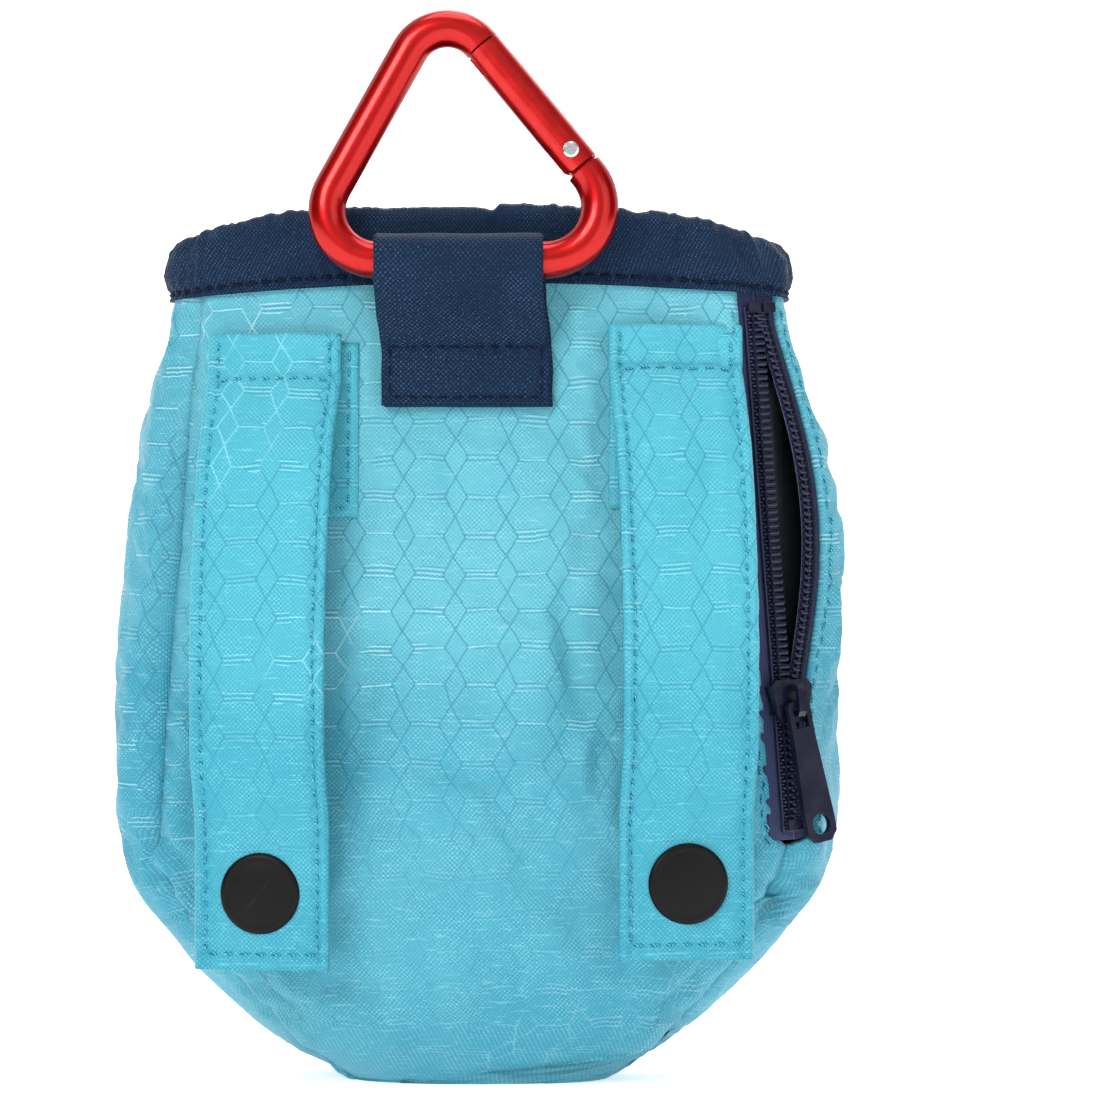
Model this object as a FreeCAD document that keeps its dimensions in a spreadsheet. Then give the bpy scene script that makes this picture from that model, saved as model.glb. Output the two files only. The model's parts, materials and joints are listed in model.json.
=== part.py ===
"""Dog treat pouch: a gusseted fabric bag with an elastic rim, two snap-down belt straps, a zipped key pocket
and a triangular carabiner held in a fabric loop.

Millimetres. +Z is up, +X is to the right of someone looking at the back, which is the belt side and faces -Y.
The origin is on the ground under the middle of the pouch.
"""
import FreeCAD, Part
import math
import os
import Sketcher
from FreeCAD import Placement, Rotation, Vector

# Levels of the bag from the ground up: height, half width, half depth, and how square the section is.
LEVELS = (
    ("base", 0, 24, 15, 2.5),
    ("corner", 6, 35, 20.5, 2.6),
    ("flank", 15, 45, 24.5, 2.7),
    ("knee", 26, 55.5, 27, 2.7),
    ("hip", 38, 63.8, 28.5, 2.7),
    ("belly", 54, 67, 29, 2.7),
    ("waist", 84, 66.8, 28, 2.7),
    ("chest", 116, 64, 25, 2.7),
    ("collar", 148, 57.3, 20, 2.6),
    ("mouth", 168, 56.3, 19.5, 2.6),
)

DIMENSIONS = {
    # bag
    "bag_shift": 4.6,  # how far the bag's middle stands in front of the origin
    "cloth": 1.0,
    "lining_cloth": 0.5,
    "layer_gap": 0.3,
    "key_pocket_depth": 9,
    # half width of the back and front panels, low down and at the rim
    "seam_low_across": 61.2,
    "seam_low_height": 42,
    "seam_high_across": 52.2,
    "seam_high_height": 146,
    "seam_depth": 12.9,  # how far the seams stand from the bag's middle
    "base_seam_height": 30,
    # rim
    "rim_top_middle": 163.6,
    "rim_top_side": 162,
    "rim_top_end": 156.5,
    "rim_low_middle": 149.4,
    "rim_low_end": 146.6,
    "rim_end_across": 58.6,
    "rim_side_across": 44,
    "casing_out": 1.2,
    "casing_in": 3.2,
    "slot_in": 2.0,
    "fold_cloth": 1.6,
    "elastic_width": 6.5,
    "elastic_thickness": 1.5,
    "elastic_gap": 0.25,
    # belt straps, in their own frame: out is away from the bag, up is from the sewn line
    "strap_width": 25.5,
    "strap_cloth": 1.6,
    "left_strap_across": -37.4,
    "right_strap_across": 36.9,
    "left_strap_rise": -0.9,
    "right_strap_rise": 0.9,
    "strap_fold_height": 131.5,
    "strap_fold_out": 21.7,
    "strap_turn": 12,
    "strap_top": 9,
    "strap_gap": 0.3,
    "strap_lift": 0.35,
    "strap_crown_drop": 15,
    "strap_crown_out": 7,
    "strap_chest_drop": 31,
    "strap_chest_out": 10.4,
    "strap_waist_drop": 50,
    "strap_waist_out": 12.3,
    "strap_belly_drop": 66,
    "strap_belly_out": 12.2,
    "strap_snap_drop": 83.5,
    "strap_snap_out": 8.5,
    "strap_tail_drop": 108.2,
    "strap_tail_out": 8.5,
    "strap_bend": 45,
    "patch_width": 25,
    "patch_length": 33,
    "patch_cloth": 0.8,
    "left_patch_across": -34,
    "right_patch_across": 36.9,
    # snaps
    "snap_drop": 94.1,
    "snap_cap_radius": 7.5,
    "snap_cap_height": 1.9,
    "snap_crown": 0.5,
    "snap_prong_radius": 1.2,
    "snap_socket_radius": 5.6,
    "snap_socket_height": 2.4,
    "snap_cavity_radius": 2.75,
    "snap_neck_radius": 2.3,
    "snap_lip": 0.7,
    "snap_stud_radius": 2.1,
    "snap_head_radius": 2.6,
    "snap_grip": 3.3,
    "snap_flange_radius": 5.6,
    "snap_flange_height": 1.1,
    "snap_post_radius": 5.8,
    "snap_post_height": 1.2,
    "snap_clearance": 0.15,
    # carabiner loop
    "loop_across": -2.4,
    "loop_width": 31.5,
    "loop_cloth": 1.1,
    "loop_low": 126.2,
    "loop_sewn_top": 138,
    "loop_low_out": 23.65,
    "loop_top_out": 21.6,
    "loop_clearance": 0.35,
    "loop_shin": 2.2,
    # carabiner, in its own upright frame: the middle of its bottom bar is the origin
    "rod_radius": 3.5,
    "bar_height": 153.4,
    "bar_out": 26.55,
    "lean_back": 7,
    "left_corner_across": -15.9,
    "left_corner_radius": 9.3,
    "right_corner_across": 15.3,
    "right_corner_radius": 10,
    "apex_across": -3,
    "apex_height": 35.6,
    "apex_radius": 8,
    "gate_pivot_down": 26.5,  # from where the gate side leaves the apex bend
    "gate_nose_down": 0.8,
    "gate_foot": 3.3,
    "gate_foot_chamfer": 1.5,
    "shoulder": 4.0,
    "tongue_thickness": 2.0,
    "tongue_head_radius": 2.6,
    "slot_width": 2.3,
    "foot_slot": 3.4,
    "nose_slot": 4.2,
    "nose_tongue": 3.8,
    "nose_tongue_half_width": 2.4,
    "nose_gap": 0.35,
    "rivet_radius": 1.1,
    "rivet_head_radius": 1.5,
    "rivet_reach": 3.6,
    "rivet_seat": 3.1,
    "rivet_running_gap": 0.05,
    "spring_bore_radius": 1.7,
    "spring_bore_top": 13,
    "spring_wire_radius": 0.25,
    "spring_coil_radius": 1.25,
    "spring_pitch": 1.15,
    "spring_turns": 5,
    "plunger_radius": 1.5,
    "plunger_length": 3,
    # zipper, in its own frame: origin on the meeting line at the bottom, up the tape, out of its face
    "zip_foot_across": 59.4,
    "zip_foot_out": 19.2,
    "zip_foot_height": 47,
    "zip_head_across": 52.2,
    "zip_head_out": 14.6,
    "zip_head_height": 146,
    "zip_turn": 33,
    "zip_channel_depth": 2.1,
    "tape_thickness": 0.6,
    "tape_reach": 5,
    "coil_inner": 0.1,
    "coil_outer": 2.7,
    "coil_height": 1.5,
    "slider_up": 24.5,
    "slider_length": 8,
    "slider_half_width": 3.8,
    "slider_top_half_width": 4.7,
    "slider_plate": 0.8,
    "slider_clearance": 0.25,
    "slider_flange": 0.75,
    "wedge_length": 3,
    "mouth_bow": 7,
    "crown_width": 1.6,
    "crown_length": 6,
    "crown_height": 3,
    "crown_bar": 0.9,
    "crown_post": 1.2,
    "pull_bar_radius": 0.6,
    "pull_lean": 8,
    "pull_neck_half_width": 2.5,
    "pull_half_width": 3.3,
    "pull_length": 26,
    "pull_thickness": 1.2,
    "pull_eye_half_width": 1.5,
    "pull_eye_length": 4.4,
    "pull_ring_radius": 2,
    "stop_length": 2,
}

doc = FreeCAD.newDocument("treat_pouch")
sheet = doc.addObject("Spreadsheet::Sheet", "dims")


class Size:
    """A length that knows its value and the expression over the sheet's cells that gives it."""

    def __init__(self, value, text):
        self.value = value
        self.text = text

    def _with(self, other, sign, result):
        return Size(result, "(%s %s %s)" % (self.text, sign, other.text))

    def __add__(self, other):
        other = size(other)
        return self._with(other, "+", self.value + other.value)

    def __sub__(self, other):
        other = size(other)
        return self._with(other, "-", self.value - other.value)

    def __mul__(self, other):
        other = size(other)
        return self._with(other, "*", self.value * other.value)

    def __truediv__(self, other):
        other = size(other)
        return self._with(other, "/", self.value / other.value)

    def __neg__(self):
        return Size(-self.value, "(-1 * %s)" % self.text)


def size(thing):
    """A Size from an alias, a plain number or a Size."""
    if isinstance(thing, Size):
        return thing
    if isinstance(thing, str):
        return Size(float(sheet.get(thing)), "dims." + thing)
    return Size(float(thing), repr(float(thing)))


def mm(alias):
    """The plain value of a cell."""
    return float(sheet.get(alias))


def fill_sheet():
    cells = dict(DIMENSIONS)
    for name, height, width, depth, power in LEVELS:
        cells[name + "_height"] = height
        cells[name + "_half_width"] = width
        cells[name + "_half_depth"] = depth
        cells[name + "_power"] = power
    for row, (alias, value) in enumerate(cells.items(), 1):
        sheet.set("A%d" % row, alias.replace("_", " "))
        sheet.set("B%d" % row, str(value))
        sheet.setAlias("B%d" % row, alias)
    doc.recompute()


# ---------------------------------------------------------------- sketches and features


def new_body(label):
    body = doc.addObject("PartDesign::Body", label)
    body.Label = label
    return body


def new_sketch(body, plane, lift=None, offset=None):
    """An empty sketch on one of the body's own origin planes, lifted off it or moved by a Placement."""
    sketch = body.newObject("Sketcher::SketchObject", body.Name + "_sketch")
    planes = {item.Role: item for item in body.Origin.OriginFeatures}
    sketch.AttachmentSupport = (planes[plane + "_Plane"], [""])
    sketch.MapMode = "FlatFace"
    if offset is not None:
        sketch.AttachmentOffset = offset
    if lift is not None:
        sketch.setExpression(".AttachmentOffset.Base.z", size(lift).text)
    return sketch


def pin_point(sketch, geometry, end, across, up):
    """Ties a point of the sketch to the sheet."""
    for kind, value, axis in (("DistanceX", across, -2), ("DistanceY", up, -1)):
        value = size(value)
        if abs(value.value) < 1e-9:
            sketch.addConstraint(Sketcher.Constraint("PointOnObject", geometry, end, axis))
        else:
            index = sketch.addConstraint(Sketcher.Constraint(kind, -1, 1, geometry, end, value.value))
            sketch.setExpression("Constraints[%d]" % index, value.text)


def polygon(sketch, corners):
    """A closed straight-sided outline whose corners are tied to the sheet."""
    first = sketch.GeometryCount
    points = [Vector(size(a).value, size(u).value, 0) for a, u in corners]
    for start, end in zip(points, points[1:] + points[:1]):
        sketch.addGeometry(Part.LineSegment(start, end))
    for i in range(len(points)):
        following = (i + 1) % len(points)
        sketch.addConstraint(Sketcher.Constraint("Coincident", first + i, 2, first + following, 1))
    for i, (across, up) in enumerate(corners):
        pin_point(sketch, first + i, 1, across, up)


def rectangle(sketch, left, right, low, high):
    polygon(sketch, ((left, low), (right, low), (right, high), (left, high)))


def circle(sketch, radius, across=0, up=0):
    radius = size(radius)
    middle = Vector(size(across).value, size(up).value, 0)
    index = sketch.addGeometry(Part.Circle(middle, Vector(0, 0, 1), radius.value))
    pin_point(sketch, index, 3, across, up)
    constraint = sketch.addConstraint(Sketcher.Constraint("Radius", index, radius.value))
    sketch.setExpression("Constraints[%d]" % constraint, radius.text)


def pad(body, sketch, length, both_ways=False, backwards=False):
    feature = body.newObject("PartDesign::Pad", body.Name + "_pad")
    feature.Profile = sketch
    feature.Midplane = both_ways
    feature.Reversed = backwards
    feature.setExpression("Length", size(length).text)
    doc.recompute()
    return feature


def pocket(body, sketch, length, both_ways=False, backwards=False):
    """Cuts the sketch out, and makes sure that it removed something."""
    before = body.Shape.Volume
    feature = body.newObject("PartDesign::Pocket", body.Name + "_pocket")
    feature.Profile = sketch
    feature.Midplane = both_ways
    feature.Reversed = backwards
    feature.setExpression("Length", size(length).text)
    doc.recompute()
    if body.Shape.Volume >= before - 1e-6:
        raise RuntimeError("a pocket of %s cut nothing" % body.Label)
    return feature


def revolve(body, sketch):
    feature = body.newObject("PartDesign::Revolution", body.Name + "_turn")
    feature.Profile = sketch
    feature.ReferenceAxis = (sketch, ["V_Axis"])
    feature.Angle = 360
    doc.recompute()
    return feature


def turned(label, half_outline):
    """A body of revolution about Z from its half outline of (radius, height) corners."""
    body = new_body(label)
    sketch = new_sketch(body, "XZ")
    polygon(sketch, half_outline)
    revolve(body, sketch)
    return body


def fillet(body, radius, wanted):
    """Rounds the edges of the body's tip that the test picks."""
    tip = body.Tip
    names = ["Edge%d" % i for i, edge in enumerate(tip.Shape.Edges, 1) if wanted(edge)]
    if not names:
        raise RuntimeError("no edges to round on " + body.Label)
    feature = body.newObject("PartDesign::Fillet", body.Name + "_fillet")
    feature.Base = (tip, names)
    feature.setExpression("Radius", size(radius).text)
    doc.recompute()
    return feature


def solid_feature(label, shape):
    """A sub-part whose shape comes from Part's own functions."""
    item = doc.addObject("Part::Feature", label)
    item.Label = label
    item.Shape = shape
    return item


def runs_along(axis):
    """A test for straight edges that run along an axis."""

    def test(edge):
        if edge.Curve.TypeId != "Part::GeomLine":
            return False
        return abs(edge.tangentAt(edge.FirstParameter).dot(axis)) > 0.999

    return test


# ---------------------------------------------------------------- the bag's own shape


def eased(knots, values, at):
    """The value at one place on a smooth line through knots that never overshoots between them."""
    gaps = [b - a for a, b in zip(knots, knots[1:])]
    rates = [(b - a) / gap for a, b, gap in zip(values, values[1:], gaps)]
    slopes = [rates[0]]
    slopes += [2 * a * b / (a + b) if a * b > 0 else 0.0 for a, b in zip(rates, rates[1:])]
    slopes.append(rates[-1])
    i = max([k for k in range(len(gaps)) if knots[k] <= at], default=0)
    t = (at - knots[i]) / gaps[i]
    from_start = (2 * t**3 - 3 * t**2 + 1) * values[i] + (t**3 - 2 * t**2 + t) * gaps[i] * slopes[i]
    from_end = (3 * t**2 - 2 * t**3) * values[i + 1] + (t**3 - t**2) * gaps[i] * slopes[i + 1]
    return from_start + from_end


def bag_profile(height):
    """Half width, half depth and power of the bag's section at a height."""
    heights = [mm(row[0] + "_height") for row in LEVELS]
    kinds = ("half_width", "half_depth", "power")
    return [eased(heights, [mm("%s_%s" % (row[0], kind)) for row in LEVELS], height) for kind in kinds]


def quarter_ring(half_width, half_depth, power, count):
    """Evenly spaced points on a quarter of a superellipse, from its right end to its back."""
    fine = 300
    line = []
    for step in range(fine + 1):
        turn = math.pi / 2 * step / fine
        across, out = abs(math.cos(turn)) ** (2 / power), math.sin(turn) ** (2 / power)
        line.append((half_width * across, half_depth * out))
    lengths = [0.0]
    for (x0, y0), (x1, y1) in zip(line, line[1:]):
        lengths.append(lengths[-1] + math.hypot(x1 - x0, y1 - y0))
    picked = []
    for k in range(count + 1):
        wanted = lengths[-1] * k / count
        i = min(max([j for j, value in enumerate(lengths) if value <= wanted]), fine - 1)
        t = (wanted - lengths[i]) / (lengths[i + 1] - lengths[i])
        picked.append(tuple(a + (b - a) * t for a, b in zip(line[i], line[i + 1])))
    return picked


def level_wire(height, grow, back_in=0.0, hug=True):
    """A closed smooth section of the bag, its back wall moved in. With hug it lies flat under the zipper's
    tapes."""
    half_width, half_depth, power = bag_profile(height)
    middle = mm("bag_shift")
    quarter = quarter_ring(half_width + grow, half_depth + grow - back_in, power, 9)
    back = [(x, -y) for x, y in quarter] + [(-x, -y) for x, y in reversed(quarter[:-1])]
    quarter = quarter_ring(half_width + grow, half_depth + grow, power, 9)
    front = [(-x, y) for x, y in quarter[1:]] + [(x, y) for x, y in reversed(quarter[1:-1])]
    ring = [Vector(x, y + middle, height) for x, y in back + front]
    if hug:
        share = zip_share(height)
        for index, target in zip((1, 2, 3), tape_points(height, grow)):
            ring[index] = ring[index] * (1 - share) + target * share
    curve = Part.BSplineCurve()
    steps = [float(i) for i in range(len(ring) + 1)]
    curve.interpolate(Points=ring, Parameters=steps, PeriodicFlag=True)
    return Part.Wire([curve.toShape()])


def zip_share(height):
    """How closely the bag's section follows the zipper at a height: 1 beside it, fading out below and above."""
    fade = 14
    outside = max(mm("zip_foot_height") - height, height - mm("zip_head_height"), 0)
    t = max(0, 1 - outside / fade)
    return t * t * (3 - 2 * t)


def tape_points(height, grow):
    """Three points of the bag's section under the zipper's tapes, from the side to the back."""
    frame, length = zip_frame()
    across = frame.Rotation.multVec(Vector(1, 0, 0))
    up = frame.Rotation.multVec(Vector(0, 1, 0))
    out = frame.Rotation.multVec(Vector(0, 0, 1))
    along = (height - frame.Base.z) / up.z
    line = frame.Base + up * along + out * (grow + 0.2)
    far = mm("tape_reach") + 0.8 + mouth_bow(along)
    near = -mm("tape_reach") - 1.5
    points = [line + across * place for place in (far, (far + near) / 2, near)]
    # The tape's frame leans, so each point slides along the tape back to the wanted height.
    return [point - up * ((point.z - height) / up.z) for point in points]


def mouth_bow(along):
    """How far the side row stands away from the meeting line at a place along the zipper."""
    _, length = zip_frame()
    start, end = mm("slider_up") - 1, length - mm("stop_length") - 1
    if not start < along < end:
        return 0.0
    return mm("mouth_bow") * math.sin(math.pi * (along - start) / (end - start)) ** 1.15


def level_heights():
    """The heights of the bag's sections: the levels and the places midway between them."""
    heights = [mm(row[0] + "_height") for row in LEVELS]
    return sorted(heights + [(a + b) / 2 for a, b in zip(heights, heights[1:])])


def bag_solid(grow, floor=None):
    """The bag as one solid, grown sideways by grow and cut off at floor."""
    solid = Part.makeLoft([level_wire(height, grow) for height in level_heights()], True, False)
    if floor is not None:
        solid = solid.common(box(-100, 100, -100, 100, floor, 200))
    return solid


def behind_pocket(grow):
    """A solid whose back wall is where the key pocket pushes the inner bag in. Everywhere else it stands
    outside the bag, so that the two cross at an angle."""
    # The key pocket pushes the inner bag in by this share of its depth at each level.
    pushed = {"base": 0, "corner": 0, "flank": 0.25, "knee": 0.6, "collar": 0, "mouth": 0}
    shares = [pushed.get(row[0], 1) for row in LEVELS]
    heights = [mm(row[0] + "_height") for row in LEVELS]
    spare = 1.5
    wires = []
    for height in level_heights():
        back_in = (mm("key_pocket_depth") + spare) * eased(heights, shares, height)
        wires.append(level_wire(height, grow + spare, back_in, back_in == 0))
    return Part.makeLoft(wires, True, False)


def side_on_prism(outline, near, far):
    """The solid whose outline, seen from the back, is a closed wire at y = 0, from y = near to y = far."""
    face = Part.Face(outline)
    face.translate(Vector(0, near, 0))
    return face.extrude(Vector(0, far - near, 0))


def arched_wire(low, high):
    """A closed outline seen from the back between two arching lines, each (end, side or None, middle)."""
    across = mm("rim_end_across") + 4
    side = mm("rim_side_across")
    beyond = 85

    def line(heights):
        end, shoulder, middle = heights
        points = [Vector(-across, 0, end), Vector(0, 0, middle), Vector(across, 0, end)]
        if shoulder is not None:
            points.insert(1, Vector(-side, 0, shoulder))
            points.insert(3, Vector(side, 0, shoulder))
        curve = Part.BSplineCurve()
        curve.interpolate(Points=points)
        left, right = Vector(-beyond, 0, end), Vector(beyond, 0, end)
        return [Part.makeLine(left, points[0]), curve.toShape(), Part.makeLine(points[-1], right)], left, right

    bottom, low_left, low_right = line(low)
    top, high_left, high_right = line(high)
    sides = [Part.makeLine(low_left, high_left), Part.makeLine(low_right, high_right)]
    return Part.Wire(Part.__sortEdges__(bottom + top + sides))


def rim_line(drop=0.0):
    """The arching top line of the rim, lowered by drop."""
    return tuple(mm("rim_top_" + place) - drop for place in ("end", "side", "middle"))


def rim_foot():
    """The arching lower edge of the rim."""
    return (mm("rim_low_end"), None, mm("rim_low_middle"))


def below(line):
    """Everything under an arching line."""
    far = 80
    return side_on_prism(arched_wire((-20, None, -20), line), -far, far)


def between(low, high):
    far = 80
    return side_on_prism(arched_wire(low, high), -far, far)


def box(x0, x1, y0, y1, z0, z1):
    return Part.makeBox(x1 - x0, y1 - y0, z1 - z0, Vector(x0, y0, z0))


def one_solid(shape):
    """The shape's largest solid, for pieces that a cut may leave crumbs beside."""
    return max(shape.Solids, key=lambda solid: solid.Volume)


# ---------------------------------------------------------------- where things stand


def frame_of(origin, x_axis, y_axis, z_axis):
    """The frame with these axes at this origin."""
    rows = [(x_axis[i], y_axis[i], z_axis[i], origin[i]) for i in range(3)] + [(0, 0, 0, 1)]
    return Placement(FreeCAD.Matrix(*[value for row in rows for value in row]))


def zip_frame():
    """The zipper's frame: X across the tape away from the back panel, Y up the tape, Z out of its face."""
    shift = mm("bag_shift")
    foot = Vector(mm("zip_foot_across"), shift - mm("zip_foot_out"), mm("zip_foot_height"))
    head = Vector(mm("zip_head_across"), shift - mm("zip_head_out"), mm("zip_head_height"))
    up = (head - foot).normalize()
    turn = math.radians(mm("zip_turn"))
    face = Vector(math.sin(turn), -math.cos(turn), 0)
    across = up.cross(face).normalize()
    face = across.cross(up)
    return frame_of(foot, across, up, face), (head - foot).Length


def carabiner_frame():
    """The carabiner's frame: the middle of its bottom bar, leaning back on the rim."""
    origin = Vector(mm("loop_across"), mm("bag_shift") - mm("bar_out"), mm("bar_height"))
    return Placement(origin, Rotation(Vector(1, 0, 0), -mm("lean_back")))


def gate_line():
    """The straight gate side of the carabiner in its upright frame: where it leaves the apex bend, where it
    meets the right corner bend, and its direction down."""
    apex = Vector(mm("apex_across"), 0, mm("apex_height"))
    corner = Vector(mm("right_corner_across"), 0, mm("right_corner_radius"))
    span = corner - apex
    along = Vector(span).normalize()
    beside = Vector(-along.z, 0, along.x)
    lean = (mm("apex_radius") - mm("right_corner_radius")) / span.Length
    normal = beside * math.sqrt(1 - lean * lean) + along * lean
    top = apex + normal * mm("apex_radius")
    end = corner + normal * mm("right_corner_radius")
    return top, end, (end - top).normalize()


def gate_frame():
    """The gate's frame inside the carabiner's: origin at the pivot, Z towards the nose, X outwards."""
    top, _, down = gate_line()
    pivot = top + down * mm("gate_pivot_down")
    up = -down
    out = Vector(0, 1, 0).cross(up)
    return frame_of(pivot, out, Vector(0, 1, 0), up)


# ---------------------------------------------------------------- fabric


def zip_channel(wall=0.0):
    """What the zipper's tapes, rows, slider and open mouth take out of the bag's walls, grown by wall."""
    frame, length = zip_frame()
    reach, slack = mm("tape_reach"), 0.1 + wall
    deep = mm("zip_channel_depth") + wall
    slab = Part.makeBox(2 * (reach + slack), length + 1 + wall, 16 + deep, Vector(-reach - slack, -0.5 - wall, -deep))
    lens = Part.Face(side_strip(0, reach + slack)).extrude(Vector(0, 0, 16 + deep))
    lens.translate(Vector(0, 0, -deep))
    tool = slab.fuse(lens)
    tool.Placement = frame
    return tool


def side_edge(offset):
    """The line beside the zipper's meeting line, at offset from it, that bows out round the open mouth."""
    _, length = zip_frame()
    start, end = mm("slider_up") - 1, length - mm("stop_length") - 1
    stations = [start + (end - start) * i / 14 for i in range(15)]
    curve = Part.BSplineCurve()
    points = [Vector(offset + mouth_bow(along), along, 0) for along in stations]
    straight = Vector(0, 1, 0)
    curve.interpolate(Points=points, InitialTangent=straight, FinalTangent=straight)
    low, high = Vector(offset, 0, 0), Vector(offset, length, 0)
    return [Part.makeLine(low, points[0]), curve.toShape(), Part.makeLine(points[-1], high)], low, high


def side_strip(near, far):
    """The closed outline between two lines beside the meeting line. A near of 0 is the straight line itself."""
    _, length = zip_frame()
    far_edges, far_low, far_high = side_edge(far)
    if near == 0:
        near_low, near_high = Vector(0, 0, 0), Vector(0, length, 0)
        near_edges = [Part.makeLine(near_low, near_high)]
    else:
        near_edges, near_low, near_high = side_edge(near)
    ends = [Part.makeLine(near_low, far_low), Part.makeLine(near_high, far_high)]
    return Part.Wire(Part.__sortEdges__(near_edges + far_edges + ends))


def panel_outline(right_edge):
    """The outline of a back or front panel. right_edge gives its two upper right corners."""
    low = -1.0
    left_edge = [
        (-mm("seam_high_across"), mm("mouth_height")),
        (-mm("seam_high_across"), mm("seam_high_height")),
        (-mm("seam_low_across"), mm("seam_low_height")),
        (-mm("knee_half_width") * 0.93, mm("knee_height")),
        (-mm("corner_half_width") * 0.97, mm("corner_height")),
        (-mm("base_half_width") * 0.9, low),
    ]
    lower_right = [(-x, z) for x, z in reversed(left_edge[3:])]
    high = [(right_edge[1][0], mm("mouth_height"))]
    corners = left_edge + lower_right + right_edge + high
    return Part.makePolygon([Vector(x, 0, z) for x, z in corners + corners[:1]])


def make_bag():
    """The outer panels: back, front, two side gussets and the base gusset."""
    cloth = mm("cloth")
    wall = bag_solid(0).cut(bag_solid(-cloth, cloth))
    wall = wall.common(below(rim_line(mm("fold_cloth") + mm("elastic_width") + 2 * mm("elastic_gap"))))
    wall = wall.cut(zip_channel()).cut(snap_holes())
    shift = mm("bag_shift")
    far = mm("belly_half_depth") + 5
    height = mm("mouth_height")
    deep = mm("seam_depth")
    seam = [(mm("seam_low_across"), mm("seam_low_height")), (mm("seam_high_across"), mm("seam_high_height"))]
    zipper = [(mm("zip_foot_across"), mm("zip_foot_height")), (mm("zip_head_across"), mm("zip_head_height"))]
    back_zone = side_on_prism(panel_outline(zipper), -far, shift - deep)
    front_zone = side_on_prism(panel_outline(seam), shift + deep, shift + far)
    solid_feature("back_panel", one_solid(wall.common(back_zone)))
    solid_feature("front_panel", one_solid(wall.common(front_zone)))
    rest = wall.cut(back_zone).cut(front_zone)
    split = mm("base_seam_height")
    wide = mm("belly_half_width") + 5
    solid_feature("left_gusset", one_solid(rest.common(box(-wide, 0, -60, 60, split, height))))
    solid_feature("right_gusset", one_solid(rest.common(box(0, wide, -60, 60, split, height))))
    solid_feature("base_gusset", one_solid(rest.common(box(-wide, wide, -60, 60, -1, split))))


def snap_holes():
    """The holes in the back panel that the snap posts go through."""
    holes = []
    for side in ("left", "right"):
        hole = Part.makeCylinder(mm("snap_prong_radius") + 0.05, 30, Vector(0, 0, -20))
        hole.Placement = snap_frame(side)
        holes.append(hole)
    return Part.makeCompound(holes)


def make_lining():
    """The wipe-clean inner bag, and the key pocket between it and the back panel."""
    cloth, gap, thin = mm("cloth"), mm("layer_gap"), mm("lining_cloth")
    top = below(rim_line(mm("fold_cloth") + mm("elastic_width") + 2 * mm("elastic_gap")))

    def inner_bag(grow):
        return bag_solid(grow, -grow).common(behind_pocket(grow))

    # The lining steps in behind the zipper, to leave the slider room.
    outside = inner_bag(-cloth - gap).cut(zip_channel())
    inside = inner_bag(-cloth - gap - thin).cut(zip_channel(thin))
    solid_feature("inner_lining", one_solid(outside.cut(inside).common(top)))
    shift = mm("bag_shift")
    low, high = mm("zip_foot_height"), mm("zip_head_height") - 12
    left = -mm("seam_high_across") + 8

    def space(wall):
        room = bag_solid(-cloth - 0.1 - wall, cloth).cut(behind_pocket(-cloth - gap + 0.15 + wall))
        return room.common(box(left + wall, 80, -60, shift - 6 - wall, low + wall, high - wall))

    bag = one_solid(space(0)).cut(space(thin)).cut(zip_channel())
    solid_feature("key_pocket", one_solid(bag))


def make_rim():
    """The folded casing round the mouth and the flat elastic inside it."""
    fold, width, gap = mm("fold_cloth"), mm("elastic_width"), mm("elastic_gap")
    ring = bag_solid(mm("casing_out")).cut(bag_solid(-mm("casing_in"), 1))
    casing = ring.common(between(rim_foot(), rim_line()))
    channel = bag_solid(0.1).cut(bag_solid(-mm("slot_in"), 1)).common(below(rim_line(fold)))
    rounding = rim_rounding()
    solid_feature("rim_casing", one_solid(casing.cut(channel).common(rounding)))
    band = bag_solid(-gap).cut(bag_solid(-gap - mm("elastic_thickness"), 1))
    top = rim_line(fold + gap)
    foot = rim_line(fold + gap + width)
    solid_feature("rim_elastic", one_solid(band.common(between(foot, top))))


def rim_rounding():
    """Takes the square corners off the casing's top fold."""
    out, inward = mm("casing_out"), mm("casing_in")
    bevel = 1.0
    upper = bag_solid(out - bevel).cut(bag_solid(-inward + bevel, 1))
    return upper.fuse(below(rim_line(bevel)))


def make_loop():
    """The folded fabric loop, sewn to the back panel, that goes round the carabiner's bottom bar."""
    cloth, clear, rod = size("loop_cloth"), size("loop_clearance"), size("rod_radius")
    inner = rod + clear
    outer = inner + cloth
    shift = size("bag_shift")
    bar_y, bar_z = shift - "bar_out", size("bar_height")
    back = bar_y + outer
    low_back, sewn_back = shift - "loop_low_out", shift - "loop_top_out"
    low, sewn = size("loop_low"), size("loop_sewn_top")
    body = new_body("carabiner_loop")
    whole = new_sketch(body, "YZ")
    low_front, sewn_front = low_back - cloth * 2, sewn_back - cloth * 2
    shin = bar_z - "loop_shin"
    foot = ((sewn_front, sewn), (low_front, low), (low_back, low), (sewn_back, sewn))
    loop_outline(whole, bar_y, bar_z, outer, (bar_y - outer, shin), *foot)
    pad(body, whole, "loop_width", both_ways=True)
    eye = new_sketch(body, "YZ")
    mid = sewn_back - cloth
    slit = size(0.1)
    eye_low = sewn + 1
    slot_end = ((mid - slit, eye_low + 1), (mid - slit, eye_low), (mid, eye_low), (mid, eye_low + 1))
    loop_outline(eye, bar_y, bar_z, inner, (bar_y - inner, shin), *slot_end)
    pocket(body, eye, size("loop_width") + 2, both_ways=True)
    body.setExpression(".Placement.Base.x", size("loop_across").text)
    return body


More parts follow.
